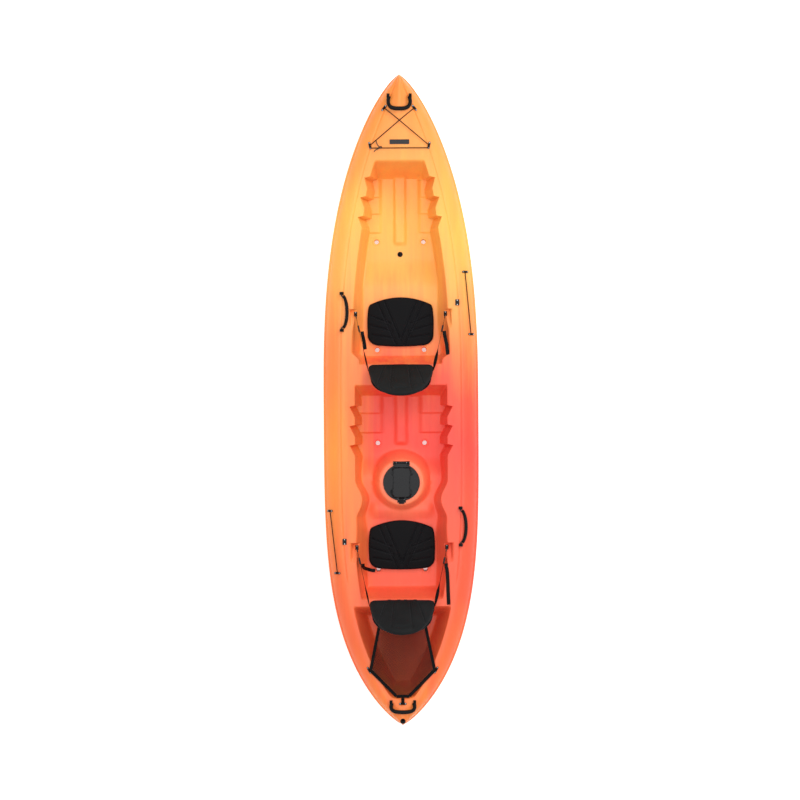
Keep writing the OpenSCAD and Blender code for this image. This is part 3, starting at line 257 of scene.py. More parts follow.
def hull_bottom(x, y):
    """Height of the bottom: sections (1 - (x/h)^n)^(1/n), boxy amidships and V-shaped at the ends, with two tunnels."""
    h = half_width(y) - flange(y)
    ends = smooth((np.abs(y) / HALF_LEN - 0.55) / 0.45)
    n = 3 - 1.4 * ends
    top, keel = seam_z(y) - FLANGE_T, keel_z(y)
    fall = (top - keel) * (1.07 - 0.07 * ends) * np.maximum(1 - np.clip(np.abs(x) / h, 0, 1) ** n, 0) ** (1 / n)
    z = soft_max(top - fall, keel, 10 * (1 - ends) + 0.01)
    mid = 1 - smooth((np.abs(y) - 0.42 * HALF_LEN) / (0.2 * HALF_LEN))
    return z + TUNNEL * mid * bump((np.abs(x) - 205) / 48)


def stations():
    """Rows along the hull: an even spacing, with more where a notch, ledge or pocket has a steep face."""
    even = np.linspace(-HALF_LEN, HALF_LEN, 500)
    tips = HALF_LEN - np.array([0.0, 0.6, 2, 4, 8, 12])
    notch_rows = [rim - 90 - 110 * k - d for rim in (FRONT_WELL, REAR_WELL - 28) for k in range(3) for d in (-4, -1, 3)]
    ledge_rows = [FRONT_WELL - a + d for a in (388, 281, 186) for d in (-4, 0, 4)]
    ledge_rows += [REAR_WELL - a + d for a in (159, 270) for d in (-4, 0, 4)]
    pocket_rows = [y + d for y in (FRONT_PAD + 67, REAR_PAD + 18) for d in (-3, 0, 3)]
    rows = np.sort(np.concatenate([even, tips, -tips, notch_rows, ledge_rows, pocket_rows]))
    return rows[np.concatenate([[True], np.diff(rows) > 0.4])]


def deck_columns(y):
    """Distances from the middle line at which each row is drawn, gunwale first; they follow the crease and the rim and
    foot of the wells."""
    h, fl, ci = half_width(y), flange(y), crease_in(y)
    flat = h - ci
    notch_out = np.where(in_front(y), notches(y, FRONT_WELL), np.where(in_rear(y), notches(y, REAR_WELL - 28), 0))
    rim = np.where(in_front(y), front_half(y), np.where(in_rear(y), rear_half(y), tank_half(y)))
    rim = np.clip(rim + notch_out, 0.45 * flat, 0.95 * flat - np.minimum(5, 0.1 * flat))
    floor = np.where(in_front(y), SEAT_FLOOR - 45 * smooth((y - FRONT_PAD - 185) / 190),
                     np.where(in_rear(y), SEAT_FLOOR - 45 * smooth((y - HATCH_Y - 10) / 150), SEAT_FLOOR))
    steep = np.where(in_front(y), slope_at(y, FRONT_PAD), np.where(in_rear(y), slope_at(y, REAR_PAD), 3))
    foot = np.clip(rim - (plateau(rim, y) - floor) / steep - 4, 0.5 * rim, 0.93 * rim)
    edge = np.minimum(5, 0.05 * h)
    marks = [h, h - fl, h - ci + edge, h - ci - edge, rim + 0.02 * flat, foot, 0 * y]
    counts = [2, 12, 8, 8, 16, 22]
    blocks = [np.linspace(a, b, n, endpoint=False, axis=1) for a, b, n in zip(marks, marks[1:], counts)]
    return np.concatenate(blocks + [0 * y[:, None]], axis=1)


def both_sides(right):
    """Carries a half section over to the other side."""
    return np.concatenate([right, -right[:, -2::-1]], axis=1)


def grid_faces(rows, cols, offset=0, close=False):
    """Quads of a grid of rows x cols points; close joins the last column to the first."""
    i, j = np.meshgrid(np.arange(rows - 1), np.arange(cols if close else cols - 1), indexing="ij")
    k = (j + 1) % cols
    quads = np.stack([i * cols + j, i * cols + k, (i + 1) * cols + k, (i + 1) * cols + j], axis=-1)
    return quads.reshape(-1, 4) + offset


def capped_faces(rings, cols):
    """Faces of a stack of closed rings, with the first and the last filled."""
    return grid_faces(rings, cols, close=True)[:, ::-1].tolist() + [
        list(range(cols)), list(range(rings * cols - 1, (rings - 1) * cols - 1, -1))]


def add_piece(name, points, faces, body, material, slot, smooth_angle=40.0, replaces=()):
    """Puts points (in millimetres) and faces into a new object, shades it, and gives it its body, slot and finish."""
    mesh = bpy.data.meshes.new(name)
    mesh.from_pydata((np.asarray(points, float).reshape(-1, 3) * MM).tolist(), [],
                     faces.tolist() if isinstance(faces, np.ndarray) else faces)
    mesh.validate()
    mesh.shade_smooth()
    if smooth_angle:
        mesh.set_sharp_from_angle(angle=math.radians(smooth_angle))
    obj = bpy.data.objects.new(name, mesh)
    bpy.context.scene.collection.objects.link(obj)
    obj.data.materials.append(material)
    return settle(obj, body, replaces)


def settle(obj, body, replaces=()):
    """Gives a piece the body it rides on, the finish it stands for and the solids that it replaces."""
    if body:
        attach(obj, body)
    if replaces:
        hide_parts(*replaces)
    return obj


def open_holes(points, faces, holes):
    """Cuts round holes (x, y, r): grid points near a circle move on to it, and the faces inside it go."""
    p = points.copy()
    gone = np.zeros(len(faces), bool)
    for x, y, r in holes:
        d = np.hypot(p[:, 0] - x, p[:, 1] - y)
        near = (d > r - 3.2) & (d < r + 3.2)
        scale = np.where(near, r / np.maximum(d, 0.01), 1)
        p[:, 0] = np.where(near, x + (p[:, 0] - x) * scale, p[:, 0])
        p[:, 1] = np.where(near, y + (p[:, 1] - y) * scale, p[:, 1])
        centre = p[faces].mean(axis=1)
        gone |= np.hypot(centre[:, 0] - x, centre[:, 1] - y) < r
    return p, faces[~gone]


# ---------- materials ----------
def add(tree, kind, links=None, stops=(), **settings):
    """Adds a node: settings are its own properties, stops the (place, hex colour) pairs of a colour ramp, and links
    gives each input a value, another node's output, or a node whose first output it takes."""
    node = tree.nodes.new(kind)
    for key, value in settings.items():
        setattr(node, key, value)
    for n, (place, code) in enumerate(stops):
        if n > 1:
            node.color_ramp.elements.new(place)
        node.color_ramp.elements[n].position = place
        node.color_ramp.elements[n].color = linear(code)
    for key, value in (links or {}).items():
        value = value.outputs[0] if isinstance(value, bpy.types.Node) else value
        if isinstance(value, bpy.types.NodeSocket):
            tree.links.new(value, node.inputs[key])
        else:
            node.inputs[key].default_value = value
    return node


def new_material(name):
    """The material of that name and, if it has still to be built, its emptied node tree."""
    material = bpy.data.materials.get(name)
    if material:
        return material, None
    material = bpy.data.materials.new(name)
    material.use_nodes = True
    material.node_tree.nodes.clear()
    return material, material.node_tree


def hull_polyethylene():
    """Rotomoulded polyethylene: pigments thrown in together drift lengthwise while the mould turns, so the colour
    runs in soft streaks; the skin is satin with a fine orange peel."""
    material, tree = new_material("polyethylene_rotomoulded_marbled")
    if tree is None:
        return material
    finish = bpy.context.scene.kayak_finish
    coords = add(tree, "ShaderNodeTexCoord").outputs["Object"]
    axes = add(tree, "ShaderNodeSeparateXYZ", {0: coords}).outputs
    # each noise: cycles per metre along x, y and z, detail, roughness, distortion
    streak, fine, cloud, scuff = (
        add(tree, "ShaderNodeTexNoise", {"Scale": 1.0, "Detail": detail, "Roughness": rough, "Distortion": distortion,
                                         "Vector": add(tree, "ShaderNodeMapping", {"Vector": coords, "Scale": scale})})
        for scale, detail, rough, distortion in (
            ((11.0, 0.55, 5.0), 4.0, 0.6, 0.0), ((46.0, 0.9, 20.0), 3.0, 0.6, 0.0),
            ((3.2, 1.3, 3.0), 3.0, 0.5, 0.8), ((90.0, 7.0, 60.0), 5.0, 0.7, 0.0)))
    along = add(tree, "ShaderNodeMath", {0: axes["Y"], 1: 0.5 / (HALF_LEN * MM), 2: 0.5}, operation="MULTIPLY_ADD")
    place, shares = along, ((streak, finish.streak_drift), (fine, FINE_DRIFT), (cloud, CLOUD_DRIFT))
    for noise, share in shares:
        place = add(tree, "ShaderNodeMath", {0: noise, 1: share, 2: place}, operation="MULTIPLY_ADD")
    middle_of_drift = 0.5 * sum(share for _, share in shares)
    place = add(tree, "ShaderNodeMath", {0: place, 1: middle_of_drift}, operation="SUBTRACT", use_clamp=True)
    main, port = (add(tree, "ShaderNodeValToRGB", {"Fac": place}, stops=stops) for stops in (PIGMENTS, PORT_PIGMENTS))
    # the port side stays orange amidships: a share of it by x and streaks, times a hump along the boat
    side = add(tree, "ShaderNodeMath", {0: axes["X"], 1: -4.6, 2: -1.3}, operation="MULTIPLY_ADD")
    side = add(tree, "ShaderNodeMath", {0: streak, 1: 1.5, 2: side}, operation="MULTIPLY_ADD", use_clamp=True)
    hump = add(tree, "ShaderNodeMath", {0: along, 1: 2.2, 2: -0.92}, operation="MULTIPLY_ADD")
    hump = add(tree, "ShaderNodeMath", {0: hump}, operation="ABSOLUTE")
    hump = add(tree, "ShaderNodeMath", {0: 1.0, 1: hump}, operation="SUBTRACT", use_clamp=True)
    side = add(tree, "ShaderNodeMath", {0: side, 1: hump}, operation="MULTIPLY")
    colour = add(tree, "ShaderNodeMix", {"Factor": side, 6: main, 7: port}, data_type="RGBA").outputs[2]
    # painted light: the colour is taken up to half-way to a pale orange round the hatch boss, fading out between 0.1
    # and 0.27 m from it, to offset the shade and red bounce light on its slopes
    out = add(tree, "ShaderNodeVectorMath", {0: coords, 1: (0.0, HATCH_Y * MM, 0.2)}, operation="DISTANCE")
    near = add(tree, "ShaderNodeMapRange", {0: out.outputs["Value"], 1: 0.1, 2: 0.27, 3: 0.5, 4: 0.0},
               interpolation_type="SMOOTHSTEP")
    colour = add(tree, "ShaderNodeMix", {"Factor": near, 6: colour, 7: linear("#FF9A68")}, data_type="RGBA").outputs[2]
    glow = add(tree, "ShaderNodeMath", {0: fine, 1: 0.16, 2: 0.92}, operation="MULTIPLY_ADD")
    colour = add(tree, "ShaderNodeHueSaturation", {"Value": glow, "Color": colour})
    peel = add(tree, "ShaderNodeTexNoise", {"Vector": coords, "Scale": 1000 / finish.peel_size, "Detail": 2.0})
    wave = add(tree, "ShaderNodeTexNoise", {"Vector": coords, "Scale": 7.0, "Detail": 1.0})
    sink = add(tree, "ShaderNodeBump", {"Height": wave, "Distance": 0.004, "Strength": 0.25})
    skin = add(tree, "ShaderNodeBump", {"Height": peel, "Distance": 0.0004, "Strength": 0.35, "Normal": sink})
    shader = add(tree, "ShaderNodeBsdfPrincipled", {
        "Base Color": colour, "Normal": skin, "Specular IOR Level": 0.3, "Subsurface Weight": 0.12,
        "Subsurface Radius": (0.02, 0.012, 0.008), "Subsurface Scale": 0.5,
        "Roughness": add(tree, "ShaderNodeMapRange", {0: scuff, 1: 0.45, 2: 0.75, 3: 0.36, 4: 0.52})})
    add(tree, "ShaderNodeOutputMaterial", {"Surface": shader})
    return material


# ---------- skins ----------
def build_skins():
    """The deck and the bottom, each one surface on its own grid; they share the line of the gunwale."""
    y = stations()
    across = both_sides(deck_columns(y))
    rows = np.repeat(y[:, None], across.shape[1], axis=1)
    z = deck_top(across, rows)
    outer = np.abs(across) > half_width(rows) - 0.01
    z = np.where(outer, seam_z(rows), z)
    points = np.stack([across, rows, z], axis=-1).reshape(-1, 3)
    faces = grid_faces(len(y), across.shape[1])[:, ::-1]
    scuppers = [(side * SCUPPER_X, y0, TUBE_R) for y0, _ in SCUPPERS for side in (-1, 1)]
    points, faces = open_holes(points, faces, scuppers + [(0, HATCH_Y, 80.0), (0, PLUG_Y, 12.0), (0, DRAIN_Y, 12.0)])
    add_piece("deck_skin", points, faces, "hull", hull_polyethylene(), "hull_plastic", 50.0,
              ["aft_deck_moulding", "fore_deck_moulding"])
    h, fl = half_width(y)[:, None], flange(y)[:, None]
    side = np.linspace(0, 1, 18)[None, :]
    wide = np.minimum(176, 0.6 * (h - fl))
    n = 3 - 1.4 * smooth((np.abs(y) / HALF_LEN - 0.55) / 0.45)[:, None]
    last = np.arccos((wide / (h - fl)) ** (n / 2))
    turn = (h - fl) * np.cos(side * last) ** (2 / n)
    inner = np.concatenate([wide * (1 - 0.4 * np.linspace(0, 1, 19)[None, 1:]),
                            wide * 0.6 * (1 - np.linspace(0, 1, 8)[None, 1:])], axis=1)
    half = np.concatenate([h, h, h - 0.5 * fl, turn, inner], axis=1)
    x = both_sides(half)
    rows = np.repeat(y[:, None], x.shape[1], axis=1)
    z = hull_bottom(x, rows)
    cols = half.shape[1]
    edge = np.zeros(x.shape, int)
    edge[:, :3] = [1, 2, 2]
    edge[:, -3:] = [2, 2, 1]
    z = np.where(edge == 1, seam_z(rows), np.where(edge == 2, seam_z(rows) - FLANGE_T, z))
    points = np.stack([x, rows, z], axis=-1).reshape(-1, 3)
    points, faces = open_holes(points, grid_faces(len(y), 2 * cols - 1), scuppers)
    add_piece("bottom_skin", points, faces, "hull", hull_polyethylene(), "hull_plastic", 50.0, ["hull_moulding"])


# ---------- shared shapes ----------
NODE_BODY = {node: body for body, nodes in frame["record"]["behaviour"]["bodies"].items() for node in nodes}


def unit(v):
    v = np.asarray(v, float)
    return v / np.maximum(np.linalg.norm(v, axis=-1, keepdims=True), 1e-9)


def curve_through(points, count):
    """Smooth curve through the points (a Catmull-Rom spline), drawn again at count even steps of its length."""
    p = np.asarray(points, float)
    p = np.concatenate([[2 * p[0] - p[1]], p, [2 * p[-1] - p[-2]]])
    t = np.linspace(0, len(p) - 3 - 1e-6, 40 * len(p))
    i = t.astype(int)
    f = (t - i)[:, None]
    a, b, c, d = p[i], p[i + 1], p[i + 2], p[i + 3]
    q = 0.5 * (2 * b + (c - a) * f + (2 * a - 5 * b + 4 * c - d) * f ** 2 + (3 * b - a - 3 * c + d) * f ** 3)
    return even(q, count)


def even(path, count, closed=False):
    """The same path at count even steps of its length."""
    p = np.concatenate([path, path[:1]]) if closed else path
    s = np.concatenate([[0], np.cumsum(np.linalg.norm(np.diff(p, axis=0), axis=1))])
    t = np.linspace(0, s[-1], count + 1)[:-1] if closed else np.linspace(0, s[-1], count)
    return np.stack([np.interp(t, s, p[:, k]) for k in range(p.shape[1])], axis=1)


def length_of(path):
    return float(np.linalg.norm(np.diff(path, axis=0), axis=1).sum())


def round_profile(r, sides=12):
    a = np.linspace(0, 2 * np.pi, sides, endpoint=False)
    return np.stack([np.cos(a), np.sin(a)], axis=1) * r


def strap_profile(width, thick):
    """Flat oval: a superellipse of power 6 across and 2 through."""
    a = np.linspace(0, 2 * np.pi, 20, endpoint=False)
    c, s = np.cos(a), np.sin(a)
    return np.stack([0.5 * width * np.sign(c) * np.abs(c) ** 0.4, 0.5 * thick * np.sign(s) * np.abs(s) ** 0.6], axis=1)


def sweep(path, side, profile, scale=1.0, closed=False):
    """A profile carried along a path: each ring is the path's point + u x side + v x (tangent x side)."""
    if closed:
        tangent = unit(np.roll(path, -1, axis=0) - np.roll(path, 1, axis=0))
    else:
        tangent = unit(np.gradient(path, axis=0))
    side = np.broadcast_to(np.asarray(side, float), path.shape)
    side = unit(side - (side * tangent).sum(axis=1, keepdims=True) * tangent)
    up = np.cross(tangent, side)
    scale = np.broadcast_to(np.reshape(scale, (-1, 1)), (len(path), 1))
    spread = profile[None, :, 0:1] * side[:, None, :] + profile[None, :, 1:2] * up[:, None, :]
    rings = path[:, None, :] + scale[:, :, None] * spread
    n, m = len(path), len(profile)
    if closed:
        rings = np.concatenate([rings, rings[:1]])
        faces = grid_faces(n + 1, m, close=True) % (n * m)
        return rings[:n].reshape(-1, 3), faces[:, ::-1].tolist()
    return rings.reshape(-1, 3), capped_faces(n, m)


def round_ends(count, steps=5):
    """Scale along a sweep whose ends close in a quarter circle."""
    s = np.ones(count)
    ease = np.sqrt(1 - (1 - (np.arange(steps) + 0.35) / steps) ** 2)
    s[:steps] = ease
    s[-steps:] = ease[::-1]
    return s


def put_uv(obj, length, sides):
    """UV map of a swept piece: u runs along it in metres, v once round it."""
    mesh = obj.data
    layer = mesh.uv_layers.new(name="run")
    index = np.zeros(len(mesh.loops), np.int64)
    mesh.loops.foreach_get("vertex_index", index)
    start = np.zeros(len(mesh.polygons), np.int64)
    mesh.polygons.foreach_get("loop_start", start)
    total = np.zeros(len(mesh.polygons), np.int64)
    mesh.polygons.foreach_get("loop_total", total)
    ring, col = index // sides, (index % sides).astype(float)
    owner = np.repeat(np.arange(len(total)), total)
    widest = np.zeros(len(total))
    np.maximum.at(widest, owner, col)
    col = np.where((widest[owner] == sides - 1) & (col == 0), sides, col)
    rings = max(ring.max(), 1)
    uv = np.stack([ring / rings * length * MM, col / sides], axis=1)
    layer.data.foreach_set("uv", uv.ravel().astype(np.float32))


def join_shapes(shapes):
    """Several (points, faces) as one."""
    points, faces, base = [], [], 0
    for p, f in shapes:
        points.append(np.asarray(p, float).reshape(-1, 3))
        faces += [[i + base for i in face] for face in (f.tolist() if isinstance(f, np.ndarray) else f)]
        base += len(points[-1])
    return np.concatenate(points), faces


def revolve(profile, centre, sides=48):
    """A profile of (radius, height) turned round an upright line through centre."""
    a = np.linspace(0, 2 * np.pi, sides, endpoint=False)
    r, z = np.asarray(profile, float).T
    points = np.stack([r[:, None] * np.cos(a) + centre[0], r[:, None] * np.sin(a) + centre[1],
                       z[:, None] + 0 * a + centre[2]], axis=-1)
    return points.reshape(-1, 3), grid_faces(len(r), sides, close=True)


def remade(node, material, bevel=0.5):
    """A moulded or turned fitting: the solid's own shape with its edges rounded as a mould or cutter leaves them."""
    mesh = NODES[node].data.copy()
    mesh.transform(NODES[node].matrix_world)
    shape = bmesh.new()
    shape.from_mesh(mesh)
    bmesh.ops.remove_doubles(shape, verts=shape.verts, dist=2e-5)
    bmesh.ops.dissolve_limit(shape, angle_limit=math.radians(0.6), verts=shape.verts, edges=shape.edges)
    shape.to_mesh(mesh)
    shape.free()
    mesh.materials.clear()
    mesh.materials.append(material)
    mesh.shade_smooth()
    mesh.set_sharp_from_angle(angle=math.radians(38))
    obj = bpy.data.objects.new(node + "_finished", mesh)
    bpy.context.scene.collection.objects.link(obj)
    if bevel:
        rounding = obj.modifiers.new("rounded_edges", "BEVEL")
        rounding.width = bevel * MM
        rounding.segments = 2
        rounding.limit_method = "ANGLE"
        rounding.angle_limit = math.radians(38)
        rounding.harden_normals = True
    return settle(obj, NODE_BODY[node], [node])


# ---------- materials of the fittings ----------
def speckled(name, dark, light, roughness, grain, depth, rough_spread=0.08, **shader_values):
    """Moulded surface: colour, roughness and bump from one grain of the given size in millimetres."""
    material, tree = new_material(name)
    if tree is None:
        return material
    coords = add(tree, "ShaderNodeTexCoord").outputs["Object"]
    fine, broad = (add(tree, "ShaderNodeTexNoise", {"Vector": coords, "Scale": scale, "Detail": 3.0}).outputs[0]
                   for scale in (1000 / grain, BROAD_GRAIN))
    mix = add(tree, "ShaderNodeMath", {0: fine, 1: 0.4}, operation="MULTIPLY")
    mix = add(tree, "ShaderNodeMath", {0: broad, 1: 0.6, 2: mix}, operation="MULTIPLY_ADD")
    rough = add(tree, "ShaderNodeMapRange", {0: broad, 1: 0.3, 2: 0.7, 3: roughness - rough_spread,
                                             4: roughness + rough_spread})
    bump_node = add(tree, "ShaderNodeBump", {"Height": fine, "Distance": depth * MM, "Strength": 0.6})
    colour = add(tree, "ShaderNodeValToRGB", {"Fac": mix}, stops=((0.35, dark), (0.68, light)))
    shader = add(tree, "ShaderNodeBsdfPrincipled", {"Base Color": colour, "Roughness": rough, "Normal": bump_node,
                                                    **shader_values})
    add(tree, "ShaderNodeOutputMaterial", {"Surface": shader})
    return material


def nylon_moulded():
    """Glass-filled nylon, moulded in a spark-eroded tool: near black, satin, with a fine grain."""
    return speckled("nylon_glass_filled_moulded", "#08080A", "#111113", 0.4, 1.6, 0.12, **{"Specular IOR Level": 0.2})


def rubber_moulded():
    """Natural rubber, compression moulded: black and matt, with a faint bloom."""
    return speckled("rubber_compression_moulded", "#090909", "#131211", 0.62, 2.4, 0.1, **{"Specular IOR Level": 0.16})


def lid_polypropylene():
    """Polypropylene from a polished tool: near black and glossy."""
    return speckled("polypropylene_polished_moulded", "#0B0B0D", "#131416", 0.2, 4.0, 0.05, 0.06,
                    **{"Specular IOR Level": 0.18})


def foam_closed_cell():
    """Cross-linked polyethylene foam, sawn: off-white, open cut cells."""
    return speckled("polyethylene_foam_sawn", "#D8D6CF", "#EFEDE6", 0.85, 3.0, 0.5, IOR=1.45)


def steel_turned():
    """Stainless steel, turned and passivated: bright metal with fine tool rings."""
    material, tree = new_material("stainless_steel_turned")
    if tree is None:
        return material
    coords = add(tree, "ShaderNodeTexCoord").outputs["Object"]
    place = add(tree, "ShaderNodeMapping", {"Vector": coords, "Scale": (900.0, 160.0, 900.0)})
    rings = add(tree, "ShaderNodeTexNoise", {"Vector": place, "Scale": 1.0, "Detail": 2.0, "Roughness": 0.55})
    shader = add(tree, "ShaderNodeBsdfPrincipled", {
        "Metallic": 1.0, "Roughness": add(tree, "ShaderNodeMapRange", {0: rings, 1: 0.3, 2: 0.7, 3: 0.22, 4: 0.38}),
        "Base Color": add(tree, "ShaderNodeValToRGB", {"Fac": rings}, stops=((0.3, "#A9AAAB"), (0.7, "#C3C4C5"))),
        "Normal": add(tree, "ShaderNodeBump", {"Height": rings, "Distance": 0.00004, "Strength": 0.5})})
    add(tree, "ShaderNodeOutputMaterial", {"Surface": shader})
    return material


def woven(name, dark, light, pitch, depth, roughness, around=0):
    """Cloth: two crossed sets of yarns, pitch millimetres apart, each rounded, that pass over and under each other.
    around is the number of yarns round a strap or cord, which is drawn on its own UV map, and 0 for flat cloth."""
    material, tree = new_material(name)
    if tree is None:
        return material
    place = add(tree, "ShaderNodeTexCoord").outputs
    axes = add(tree, "ShaderNodeSeparateXYZ", {0: place["UV" if around else "Object"]}).outputs
    per_pitch = math.pi / (pitch * MM)
    waves = [add(tree, "ShaderNodeMath", {0: add(tree, "ShaderNodeMath", {0: axis, 1: k}, operation="MULTIPLY")},
                 operation="SINE") for axis, k in ((axes["X"], per_pitch), (axes["Y"], math.pi * around or per_pitch))]
    warp, weft = (add(tree, "ShaderNodeMath", {0: wave}, operation="ABSOLUTE") for wave in waves)
    over = add(tree, "ShaderNodeMath", {0: waves[0], 1: waves[1]}, operation="MULTIPLY")
    over = add(tree, "ShaderNodeMath", {0: over, 1: 0.5, 2: 0.5}, operation="MULTIPLY_ADD")
    under = add(tree, "ShaderNodeMath", {0: 1.0, 1: over}, operation="SUBTRACT")
    height = add(tree, "ShaderNodeMath", {0: weft, 1: under}, operation="MULTIPLY")
    height = add(tree, "ShaderNodeMath", {0: warp, 1: over, 2: height}, operation="MULTIPLY_ADD")
    fade = add(tree, "ShaderNodeTexNoise", {"Vector": place["Object"], "Scale": 14.0, "Detail": 4.0})
    # painted shade: the colour follows the weave's height, so the crowns of the yarns are lighter and the hollows
    # between them darker; the noise above adds random tone
    mix = add(tree, "ShaderNodeMath", {0: fade, 1: 0.55}, operation="MULTIPLY")
    mix = add(tree, "ShaderNodeMath", {0: height, 1: 0.45, 2: mix}, operation="MULTIPLY_ADD")
    shader = add(tree, "ShaderNodeBsdfPrincipled", {
        "Base Color": add(tree, "ShaderNodeValToRGB", {"Fac": mix}, stops=((0.25, dark), (0.75, light))),
        "Roughness": add(tree, "ShaderNodeMapRange", {0: fade, 1: 0.3, 2: 0.7,
                                                      3: roughness - 0.08, 4: roughness + 0.06}),
        "Normal": add(tree, "ShaderNodeBump", {"Height": height, "Distance": depth * MM, "Strength": 0.7}),
        "Specular IOR Level": 0.08})
    add(tree, "ShaderNodeOutputMaterial", {"Surface": shader})
    return material


def seat_nylon():
    """Coated nylon pack cloth over foam: black, low sheen; the yarns are drawn 2.2 mm apart so that they show."""
    return woven("nylon_pack_cloth_woven", "#070708", "#121214", 2.2, 0.5, 0.6)


def back_nylon():
    """The same cloth on the backrests, a little greyer from its coating."""
    return woven("nylon_coated_cloth_woven", "#101112", "#1E2020", 2.2, 0.5, 0.56)


def webbing_polypropylene():
    """Polypropylene webbing, woven in a flat herringbone: black, with ribs 2 mm apart along it."""
    return woven("polypropylene_webbing_woven", "#070707", "#141415", 2.6, 0.5, 0.55, 24)


def cord_braided():
    """Polyester shock cord cover, braided on a machine: black, with crossing strands round it."""
    return woven("polyester_cord_braided", "#060607", "#161618", 3.0, 0.6, 0.6, 8)


def thread_bonded():
    """Bonded polyester thread, twisted: slightly lighter than the cloth, so that the stitches read."""
    return speckled("polyester_thread_twisted", "#222226", "#333338", 0.5, 0.8, 0.1, **{"Specular IOR Level": 0.2})


def net_polyester():
    """Knitted polyester mesh: dark brown strands with a dull sheen."""
    return speckled("polyester_mesh_knitted", "#1C0C08", "#33170F", 0.6, 1.2, 0.15, **{"Specular IOR Level": 0.2})


# ---------- scuppers, plugs and hatch ----------
def build_scuppers():
    """Sleeves through the hull: a straight bore whose lip rolls out into the floor and the bottom."""
    shapes = []
    for y, floor in SCUPPERS:
        for side in (-1, 1):
            a = np.linspace(0, np.pi / 2, 7)
            x = side * SCUPPER_X
            base = float(hull_bottom(np.array(x), np.array(y)))
            z = float(deck_top(np.array(x), np.array(y)))
            top = [(SCUPPER_R + 6 - 6 * np.cos(t), z - 5 + 5.6 * np.sin(t)) for t in a]
            rim = [(22.5, z + 1.6), (24.3, z + 1.0), (25, z - 0.4), (24.8, z - 2.0)]
            inner = [(SCUPPER_R, z - 5 - (z - 12 - base) * k) for k in np.linspace(0.05, 1, 10)]
            foot = [(SCUPPER_R + 1.5, base + 1.5), (18, base + 0.2), (21, base - 0.1), (23.5, base + 0.6),
                    (24, base + 2.0)]
            shapes.append(revolve(rim[::-1] + top[::-1] + inner + foot, (x, y, 0)))
    add_piece("scupper_sleeves", *join_shapes(shapes), "hull", hull_polyethylene(), "hull_plastic", 60,
              ["scupper_tubes"])


def build_plugs():
    """Screw plugs and their inserts, and the foam blocks in the hull."""
    remade("plug_inserts", nylon_moulded())
    remade("stern_drain_plug", rubber_moulded(), 0.7)
    remade("footwell_plug", rubber_moulded(), 0.7)
    remade("foam_blocks", foam_closed_cell(), 3.0)


def lid_height(x, y):
    """Lid over its edge: a dome 12.5 (1 - r^2.6) high, with a grooved centre panel 102 mm wide that stands proud
    between rounded shoulders and falls away before the hinge and the latch."""
    r = np.hypot(x, y) / 101
    dome = 12.5 * (1 - np.clip(r, 0, 1) ** 2.6)
    panel = smooth((51 - np.abs(x)) / 5) * smooth((88 - np.abs(y)) / 7)
    groove = 0.7 * bump((np.abs(x) - 44) / 2.2) * smooth((80 - np.abs(y)) / 4)
    return np.maximum(dome, 13.2 * panel + 0.25 * dome) - groove


def build_hatch():
    """Hatch: rim, gasket, bucket, pins and screws, and the domed skin of the lid with its panel."""
    remade("hatch_rim", nylon_moulded(), 0.8)
    bucket = speckled("polyethylene_blow_moulded", "#1B1B1D", "#29292B", 0.5, 3.0, 0.2, IOR=1.5)
    remade("hatch_bucket", bucket)
    remade("hatch_gasket", rubber_moulded(), 0.8)
    remade("hatch_lid", lid_polypropylene(), 0.8)
    remade("hatch_latch", nylon_moulded(), 0.8)
    for node in ("hatch_hinge_pin", "hatch_latch_pin", "hatch_screws"):
        remade(node, steel_turned(), 0.3)
    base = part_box("hatch_lid")[0][2] / MM
    rings, around = 44, 120
    a = np.linspace(0, 2 * np.pi, around, endpoint=False)
    edge = np.minimum(101.0, 93.0 / np.maximum(-np.sin(a), 0.01))
    rho = np.sin(np.linspace(0.02, np.pi / 2, rings))
    x, y = rho[:, None] * edge * np.cos(a), rho[:, None] * edge * np.sin(a)
    top = base + 5.2 + lid_height(x, y) * smooth((1 - rho[:, None]) / 0.05 + 0.35)
    skirt = [(1.003, 3.8), (1.0, 1.4), (0.93, 1.0)]
    x = np.concatenate([x] + [k * edge[None] * np.cos(a) for k, _ in skirt])
    y = np.concatenate([y] + [k * edge[None] * np.sin(a) for k, _ in skirt])
    top = np.concatenate([top] + [np.full((1, around), base + h) for _, h in skirt])
    points = np.stack([x, y + HATCH_Y, top], axis=-1).reshape(-1, 3)
    faces = grid_faces(len(top), around, close=True)[:, ::-1].tolist() + [list(range(around))]
    add_piece("hatch_lid_skin", points, faces, "hatch_lid", lid_polypropylene(), "lid_plastic", 35)


# ---------- seats ----------
def eased(path):
    """A closed path with its corners eased by a running mean."""
    for _ in range(4):
        path = 0.5 * path + 0.25 * (np.roll(path, 1, axis=0) + np.roll(path, -1, axis=0))
    return path


def pad_edge(count):
    """Outline of a seat pad: arched front, bulging sides, round rear corners."""
    x = np.linspace(176, -176, 60)
    front = np.stack([x, 138 - 42 * (x / 176) ** 2], axis=1)
    turn = np.linspace(0, np.pi / 2, 14)
    y = np.linspace(78, -62, 14)
    left = np.stack([-187.5 + 6 * ((y + 10) / 88) ** 2, y], axis=1)
    rear_left = np.stack([-126 - 60 * np.cos(turn), -76 - 56 * np.sin(turn)], axis=1)
    foot = np.stack([np.linspace(-110, -20, 5), -138 + 6 * (np.linspace(-110, -20, 5) / 126) ** 2], axis=1)
    half = np.concatenate([left, rear_left, foot])
    return eased(even(np.concatenate([front, half, half[::-1] * [-1, 1]]), count, True))


def channel(x, y, a, b, width, end=12.0):
    """Sewn channel from a to b: a rounded groove that fades out past its ends."""
    a, b = np.array(a, float), np.array(b, float)
    d = b - a
    t = ((x - a[0]) * d[0] + (y - a[1]) * d[1]) / (d @ d)
    off = np.abs((x - a[0]) * d[1] - (y - a[1]) * d[0]) / np.linalg.norm(d)
    past = np.maximum(np.maximum(-t, t - 1), 0) * np.linalg.norm(d)
    return bump(off / width) * smooth(1 - past / end)


